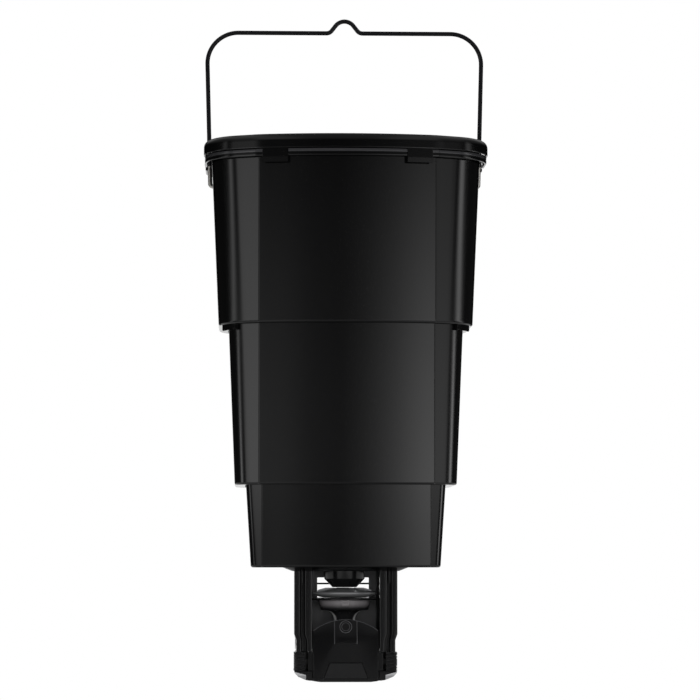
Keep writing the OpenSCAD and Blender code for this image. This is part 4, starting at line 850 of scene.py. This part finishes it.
# A band round the drum's side gets a pale grey, a painted sheen. Short strips along the left and
# right edges of the flare get a paler grey, painted highlights.
satin = up.band(drum_z + 0.001, drum_z + 0.008, drum_top - 0.0002, drum_top + 0.0002)
painted_flare_glint = up.band(neck_z - 0.004, neck_z, drum_z - 0.0016, drum_z - 0.0004)
painted_flare_glint = painted_flare_glint * fore.band(0.0005, 0.003, 0.006, 0.009)
painted_drum_sheen = satin.mix(gloss_hard.colour(), (0.17, 0.16, 0.165, 1))
gloss_hard.feed(Base_Color=painted_flare_glint.mix(painted_drum_sheen, (0.4, 0.4, 0.4, 1)))
fit("tower", joined("tower", tower, key), gloss_hard, "unit", "motor_tower",
    crease=30)

screw_set("motor", "unit", [(x, y, DECK_Z - HEAD_SINK) for x, y in motor_spots],
          head=SMALL_HEAD, rise=0.00135, shank=SMALL_SHANK, length=0.0071)
screw_set("tower", "unit", [(x, y, foot_z) for x, y in feet],
          head=SMALL_HEAD, rise=0.0016, shank=SMALL_SHANK, length=0.0044)

can = Finish("plated motor can", Metallic=1.0)
grain = can.noise(500, 4, 0.6, (0.3, 0.3, 4))
can.feed(Base_Color=grain.mix((0.45, 0.46, 0.48, 1), (0.6, 0.61, 0.63, 1)),
         Roughness=0.26 + 0.14 * grain, Normal=can.bump(grain, 0.00003, 0.3))
dress(can, "motor_can")


# Control box: the housing of the unit, a hard black moulding that slides up between the posts. It
# carries the tower, the hinge lugs of the cover, the timer and the clips.
def fit_rounded(name, node, width, finish, body, angle=28):
    """A copy of a CAD node with rounded edges as a piece."""
    fit(name, rounded(node, width, angle), finish, body, node, crease=None)


fit_rounded("box", "control_box", 0.0005, hard, "unit")


# Timer: a dark panel behind the box's window with four rubber keys and a small display, on a green
# board that four screws hold.
matt = moulded("matte grey moulding", 0.02, 0.5, 0.3, 0.00004)
dress(matt, "control_panel")
rubber = Finish("grey key rubber")
nap = rubber.noise(1600, 2, 0.6)
rubber.feed(Base_Color=rubber.noise(90, 2).mix((0.34, 0.34, 0.36, 1), (0.44, 0.44, 0.46, 1)),
            Roughness=0.6 + 0.12 * nap, Normal=rubber.bump(nap, 0.00003, 0.4))
for name in ("mode", "set", "up", "down"):
    fit_rounded(name + "_button", "key_" + name, 0.0005, rubber, name + "_key", 50)
glass = Finish("display glass", Coat_Weight=1.0, Coat_Roughness=0.04)
bars = glass.noise(260, 2, 0.5, (1, 1, 0.3))
glass.feed(Base_Color=bars.mix((0.26, 0.30, 0.25, 1), (0.33, 0.37, 0.31, 1)),
           Roughness=0.25 + 0.1 * bars)
dress(glass, "display")
mask = Finish("green board")
tracks = mask.node("TexBrick", {"offset": 0.37}, {
    "Vector": mask.place, "Scale": 160.0, "Mortar Size": 0.06, "Mortar Smooth": 0.3,
    "Brick Width": 0.7, "Row Height": 0.35}, out="Fac")
mask.feed(Base_Color=tracks.mix((0.012, 0.075, 0.03, 1), (0.04, 0.15, 0.06, 1)),
          Roughness=0.32 + 0.1 * mask.noise(400), Normal=mask.bump(tracks, 0.00004, 0.5))
dress(mask, "circuit_board")
board_x, board_back, high_row, low_row = 0.0315, -0.0344, BOX_Z - 0.008, BOX_Z - 0.034
places = [(x, board_back, z) for x in (-board_x, board_x) for z in (high_row, low_row)]
screw_set("board", "unit", places, head=SMALL_HEAD, rise=0.0015, shank=SMALL_SHANK, length=0.0046,
          turn=(radians(-90), 0, 0))


# Battery supply: a tray in the base pan with four sleeved cells side by side, a plate at each end
# of every cell, and a wound spring between cell and plate.
CELL_R, CELL_Z, FIRST_BAY, BAY_PITCH = 0.00725, -0.74875, -0.01725, 0.0155
bays = [(0, FIRST_BAY + BAY_PITCH * i, CELL_Z) for i in range(4)]
dress(matt, "battery_tray")
dress(zinc, "battery_contacts")
sleeve = Finish("cell sleeve", Coat_Weight=0.4, Coat_Roughness=0.12)
ends = 1 - sleeve.axis("X").band(-0.0268, -0.0263, 0.0212, 0.0217)
scratch = sleeve.noise(300, 4, 0.6, (0.3, 3, 3))
jacket = scratch.mix((0.03, 0.05, 0.07, 1), (0.05, 0.075, 0.1, 1))
sleeve.feed(Base_Color=ends.mix(jacket, (0.6, 0.6, 0.6, 1)), Metallic=ends,
            Roughness=0.28 + 0.14 * scratch, Normal=sleeve.bump(scratch, 0.00003, 0.3))
can_side = [(-0.02725, 0.0058), (-0.02725, 0.0066), (-0.0269, CELL_R - 0.0001), (-0.0264, CELL_R),
            (0.0212, CELL_R), (0.0219, CELL_R - 0.0002), (0.02205, 0.0066), (0.02205, 0.0029),
            (0.0221, 0.0027), (0.0230, 0.0027), (0.02325, 0.0024)]
cell = loft([[(x, y, z) for y, z, x in circle(r, at, 40)] for at, r in can_side], False)
fit("cells", at_places(cell, bays, sleeve), sleeve, "unit", "battery_cells", crease=35)
coil_x, coil_r, coil_wire, coil_len, coil_steps = 0.02375, 0.003, 0.0005, 0.003, 96
coil = [(coil_x + coil_len * i / coil_steps, coil_r * cos(pi * i / 12),
         coil_r * sin(pi * i / 12)) for i in range(coil_steps + 1)]
coil = wire.run(trace(coil), Radius=coil_wire, Sides=8, Material=zinc.material)
fit("springs", at_places(coil, bays, zinc), zinc, "unit", "battery_springs")


# Base pan: closes the box from below. Its broad chamfers at the left and right front are painted
# pale, a painted reflection of the pale floor below, and four screws go up into the box.
PAN_Z, PAN_X, PAN_FRONT, PAN_BACK = -0.7474, 0.03805, -0.0393, 0.0418
pan = moulded("black pan with pale chamfers", 0.004, 0.27, 0.1, 0.00006)
outward = abs(pan.axis("X"))
# The mask below marks the front chamfers, which get a pale grey: a painted reflection of the floor.
bare = (outward * 0.27 - pan.axis("Z") - 0.7637).step(0, 0.0004) * outward.step(0.0446, 0.0452)
bare = bare * (pan.axis("Y") * -1).step(0.02, 0.022)
painted_floor_reflection = pan.noise(300, 3).mix((0.36, 0.36, 0.37, 1), (0.5, 0.5, 0.51, 1))
pan.feed(Base_Color=bare.mix(pan.colour(), painted_floor_reflection))
fit_rounded("base", "base_cover", 0.0006, pan, "unit")
places = [(x, y, PAN_Z - 0.004) for x in (-PAN_X, PAN_X) for y in (PAN_FRONT, PAN_BACK)]
screw_set("base", "unit", places, head=0.003, rise=0.002, shank=0.0015, length=0.014,
          turn=(pi, 0, 0))


# Squeeze clips: two ribbed blocks at the lower corners, moulded in a tougher dark plastic. Pressed
# together they let the unit out of the frame.
grip = moulded("tough dark grip", 0.006, 0.26, 0.15, 0.00004)
CLIP_IN, CLIP_ROUND = 0.04525, 0.004
RIBS, RIB_OUT, RIB_TALL, SLANT = 5, 0.0014, 0.0022, tan(radians(10))


def ribbed(node, side):
    """A clip with its face cut back, and slanted ridges on it that turn round the outer corner."""
    spots = [v.co for v in nodes[node].data.vertices]
    front, low, high = min(v.y for v in spots), min(v.z for v in spots), max(v.z for v in spots)
    near, far = sorted((side * CLIP_IN, side * (HALF_W + 0.001)))
    face = (near, front - 0.001, low - 0.001), (far, front + RIB_OUT, high + 0.001)
    line = [(CLIP_IN, 0), (HALF_W - CLIP_ROUND, 0)]
    line += bend(HALF_W - CLIP_ROUND, CLIP_ROUND, CLIP_ROUND, -75, -15, 4)
    root = RIB_OUT + 0.0003
    shape = [(root, -0.5), (0.0002, -0.2), (0, 0), (0.0002, 0.2), (root, 0.5)]
    ridge = strip([[(side * x, front + y + out, (x - CLIP_IN) * SLANT + z * RIB_TALL)
                    for out, z in shape] for x, y in line], 0.0001)
    first = low + RIB_TALL * 0.55
    pitch = (high - first - RIB_TALL * 0.55 - (HALF_W - CLIP_IN) * SLANT) / (RIBS - 1)
    ridges = at_places(ridge, [(0, 0, first + pitch * i) for i in range(RIBS)], grip)
    return joined(node, rounded(node, 0.0003, clamp=True, without=[face]), ridges)


for name, side in (("left", -1), ("right", 1)):
    clip = "clip_" + name
    fit(name + "_grip", ribbed(clip, side), grip, name + "_clip", clip)


# Front cover: a glossy black plate with a crease and an arched top, hinged on a pin at its top
# edge, with a raised strap and ring. The matte thumb pad below it is the latch.
glossy = moulded("glossy black cover", 0.0045, 0.17, 0.04, 0.00004)
COVER_TOP, COVER_W, ARCH_RISE, STRAP_W, STRAP_H = BOX_Z + 0.0125, 0.0728, 0.0123, 0.0254, 0.028
RING_R, RING_W, RING_DROP = 0.0067, 0.0022, 0.0084
arch_r = ((COVER_W / 2) ** 2 + ARCH_RISE ** 2) / (2 * ARCH_RISE)
across, up = abs(glossy.axis("X")), glossy.axis("Z")


def painted_edge_line(distance, half):
    """A painted highlight line: 1 on an edge, 0 from half a line's width away from it."""
    return 1 - abs(distance).step(half * 0.5, half)


def from_centre(z):
    """Distance from a point on the cover's middle line."""
    return glossy.math("SQRT", across * across + (up - z) * (up - z))


# The arch's top edge, the ring's edges and the strap's sides get pale lines: painted highlights for
# the light their rounded edges catch.
edges = painted_edge_line(from_centre(COVER_TOP - arch_r) - arch_r, 0.0008)
off_ring = from_centre(COVER_TOP - RING_DROP) - RING_R
edges = edges + painted_edge_line(off_ring, 0.0005) + painted_edge_line(off_ring + RING_W, 0.0005) * 0.6
strap_z = COVER_TOP - STRAP_H
edges = edges + painted_edge_line(across - STRAP_W / 2, 0.0006) * up.step(strap_z, strap_z + 0.001) * 0.7
glossy.feed(Base_Color=edges.mix(glossy.colour(), (0.07, 0.07, 0.073, 1)))
fit_rounded("cover", "front_cover", 0.0004, glossy, "cover")
dress(zinc, "cover_hinge_pin")
pad = moulded("matte thumb pad", 0.007, 0.5, 0.4, 0.00004)
fit_rounded("thumb_pad", "cover_latch", 0.0005, pad, "latch")


# Studio: a pale floor below the hanging feeder, soft light from both sides and from above, a dark
# space behind the camera, and a white background.
floor_mesh = bpy.data.meshes.new("floor")
size, level = 2.2, cad_box[0][2] - 0.25
sides = [(-size, -size), (size, -size), (size, size), (-size, size)]
floor_mesh.from_pydata([(x, y, level) for x, y in sides], [], [(0, 1, 2, 3)])
floor = placed("floor", floor_mesh)
pale = bpy.data.materials.new("pale floor")
pale.use_nodes = True
paint = Signal(pale.node_tree)
pale.node_tree.nodes.clear()
ray = paint.node("LightPath", out="Is Camera Ray")
matte = paint.node("BsdfDiffuse", None, {"Color": (0.12, 0.12, 0.12, 1)})
mirrored = paint.node("LightPath", out="Is Glossy Ray")
spot = paint.node("TexCoord", out="Object")
beside = abs(paint.node("SeparateXYZ", None, {0: spot}))
glow = paint.node("Emission", None, {
    "Color": (1, 1, 1, 1), "Strength": ray + mirrored * (0.15 + 0.3 * beside.step(0.1, 0.45))})
both = paint.node("AddShader", None, {0: matte, 1: glow})
end = pale.node_tree.nodes.new("ShaderNodeOutputMaterial")
pale.node_tree.links.new(both.socket, end.inputs[0])
floor_mesh.materials.append(pale)

world = bpy.data.worlds.new("studio")
bpy.context.scene.world = world
world.use_nodes = True
world.node_tree.nodes.clear()
sky = Signal(world.node_tree)
ways = sky.node("TexCoord", out="Generated")
to_x, to_y, to_z = (sky.node("SeparateXYZ", None, {0: ways}, out=name) for name in "XYZ")
round_about = sky.math("ARCTAN2", to_x, to_y * -1) * (0.5 / pi) + 0.5
screens = [(-180, 0.02), (-110, 0.03), (-92, 0.06), (-87, 0.3), (-81, 2.6), (-76, 1.6), (-71, 0.1),
           (-61, 0.12), (-57, 0.5), (-52, 1.5), (-46, 1.9), (-40, 1.9), (-34, 1.2), (-27, 0.5),
           (-18, 0.42), (-10, 0.22), (0, 0.14), (7, 0.33), (12, 0.58), (17, 0.93), (22, 1.43),
           (28, 2.0), (33, 1.9), (38, 1.15), (52, 1.05), (56, 0.2), (69, 0.06), (74, 1.2),
           (79, 4.0), (86, 2.6), (92, 0.3), (98, 0.04)]
tilt = to_x.step(0.75, 0.9) - (to_x * -1).step(0.75, 0.9)
tilt = (to_z.step(-0.05, 0.07) - 0.5) * tilt * (20 / 360)
walls = sky.node("ValToRGB", {"stops": [(turn / 360 + 0.5, level / 4) for turn, level in screens]},
                 {"Fac": round_about + tilt}) * 4
beside = abs(to_x)
front = 1 - beside.step(0.5, 0.72)
shade = (1 - to_z.step(-0.06, 0.08) * (0.4 + 0.48 * front)) * (1 - to_z.step(0.07, 0.14) * 0.75)
flanks = (1 - to_x.step(-0.6, -0.3)) * 0.8 + to_x.step(0.55, 0.7) * 0.6
shade = shade * (1 - (1 - to_z.step(-0.1, -0.06)) * flanks)
shade = shade * (1 - (1 - to_z.step(-0.16, -0.07)) * 0.75)
high = to_z.step(0.2, 0.55)
overhead = 0.16 + 0.3 * beside.band(0.14, 0.3, 0.5, 0.75)
room = walls * shade * (1 - high) + high * overhead
camera_ray, glossy_ray, clear_ray = (
    sky.node("LightPath", out=f"Is {kind} Ray") for kind in ("Camera", "Glossy", "Transmission"))
behind = sky.math("MAXIMUM", glossy_ray, clear_ray) * to_y.step(0.955, 0.985)
seen = sky.math("MAXIMUM", camera_ray, behind)
light = sky.node("Background", None, {"Color": (1, 1, 1, 1), "Strength": room * (1 - seen) + seen})
end = world.node_tree.nodes.new("ShaderNodeOutputWorld")
world.node_tree.links.new(light.socket, end.inputs[0])


def soft_box(name, azimuth, distance, height, width, tall, power):
    """A broad lamp that faces the feeder and isn't mirrored in it."""
    lamp = bpy.data.lights.new(name, "AREA")
    lamp.shape, lamp.size, lamp.size_y, lamp.energy = "RECTANGLE", width, tall, power
    holder = placed(name, lamp)
    a = radians(azimuth)
    holder.location = (distance * sin(a), -distance * cos(a), height)
    aim = Vector((0, 0, mid_height)) - holder.location
    holder.rotation_euler = aim.to_track_quat("-Z", "Y").to_euler()
    holder.visible_glossy = False


mid_height = -0.38
soft_box("top box", 180, 0.5, 2.2, 2.6, 1.6, 45)
soft_box("front box", 0, 2.6, -0.5, 2.0, 1.0, 50)

camera = bpy.data.cameras.new("camera")
camera.sensor_width, camera.lens = 36, 152.12
eye = placed("camera", camera)
azimuth, pitch = radians(-2.0), radians(4.2)
away, aside, eye_z = 3.4, 0.0064, -0.6306
level_look = Vector((-sin(azimuth), cos(azimuth), 0))
to_right = Vector((cos(azimuth), sin(azimuth), 0))
eye.location = Vector((0, 0, eye_z)) - level_look * away + to_right * aside
look = level_look * cos(pitch) + Vector((0, 0, sin(pitch)))
eye.rotation_euler = look.to_track_quat("-Z", "Y").to_euler()
bpy.context.scene.camera = eye
bpy.context.scene.view_settings.view_transform = "Standard"

bpy.context.view_layer.update()
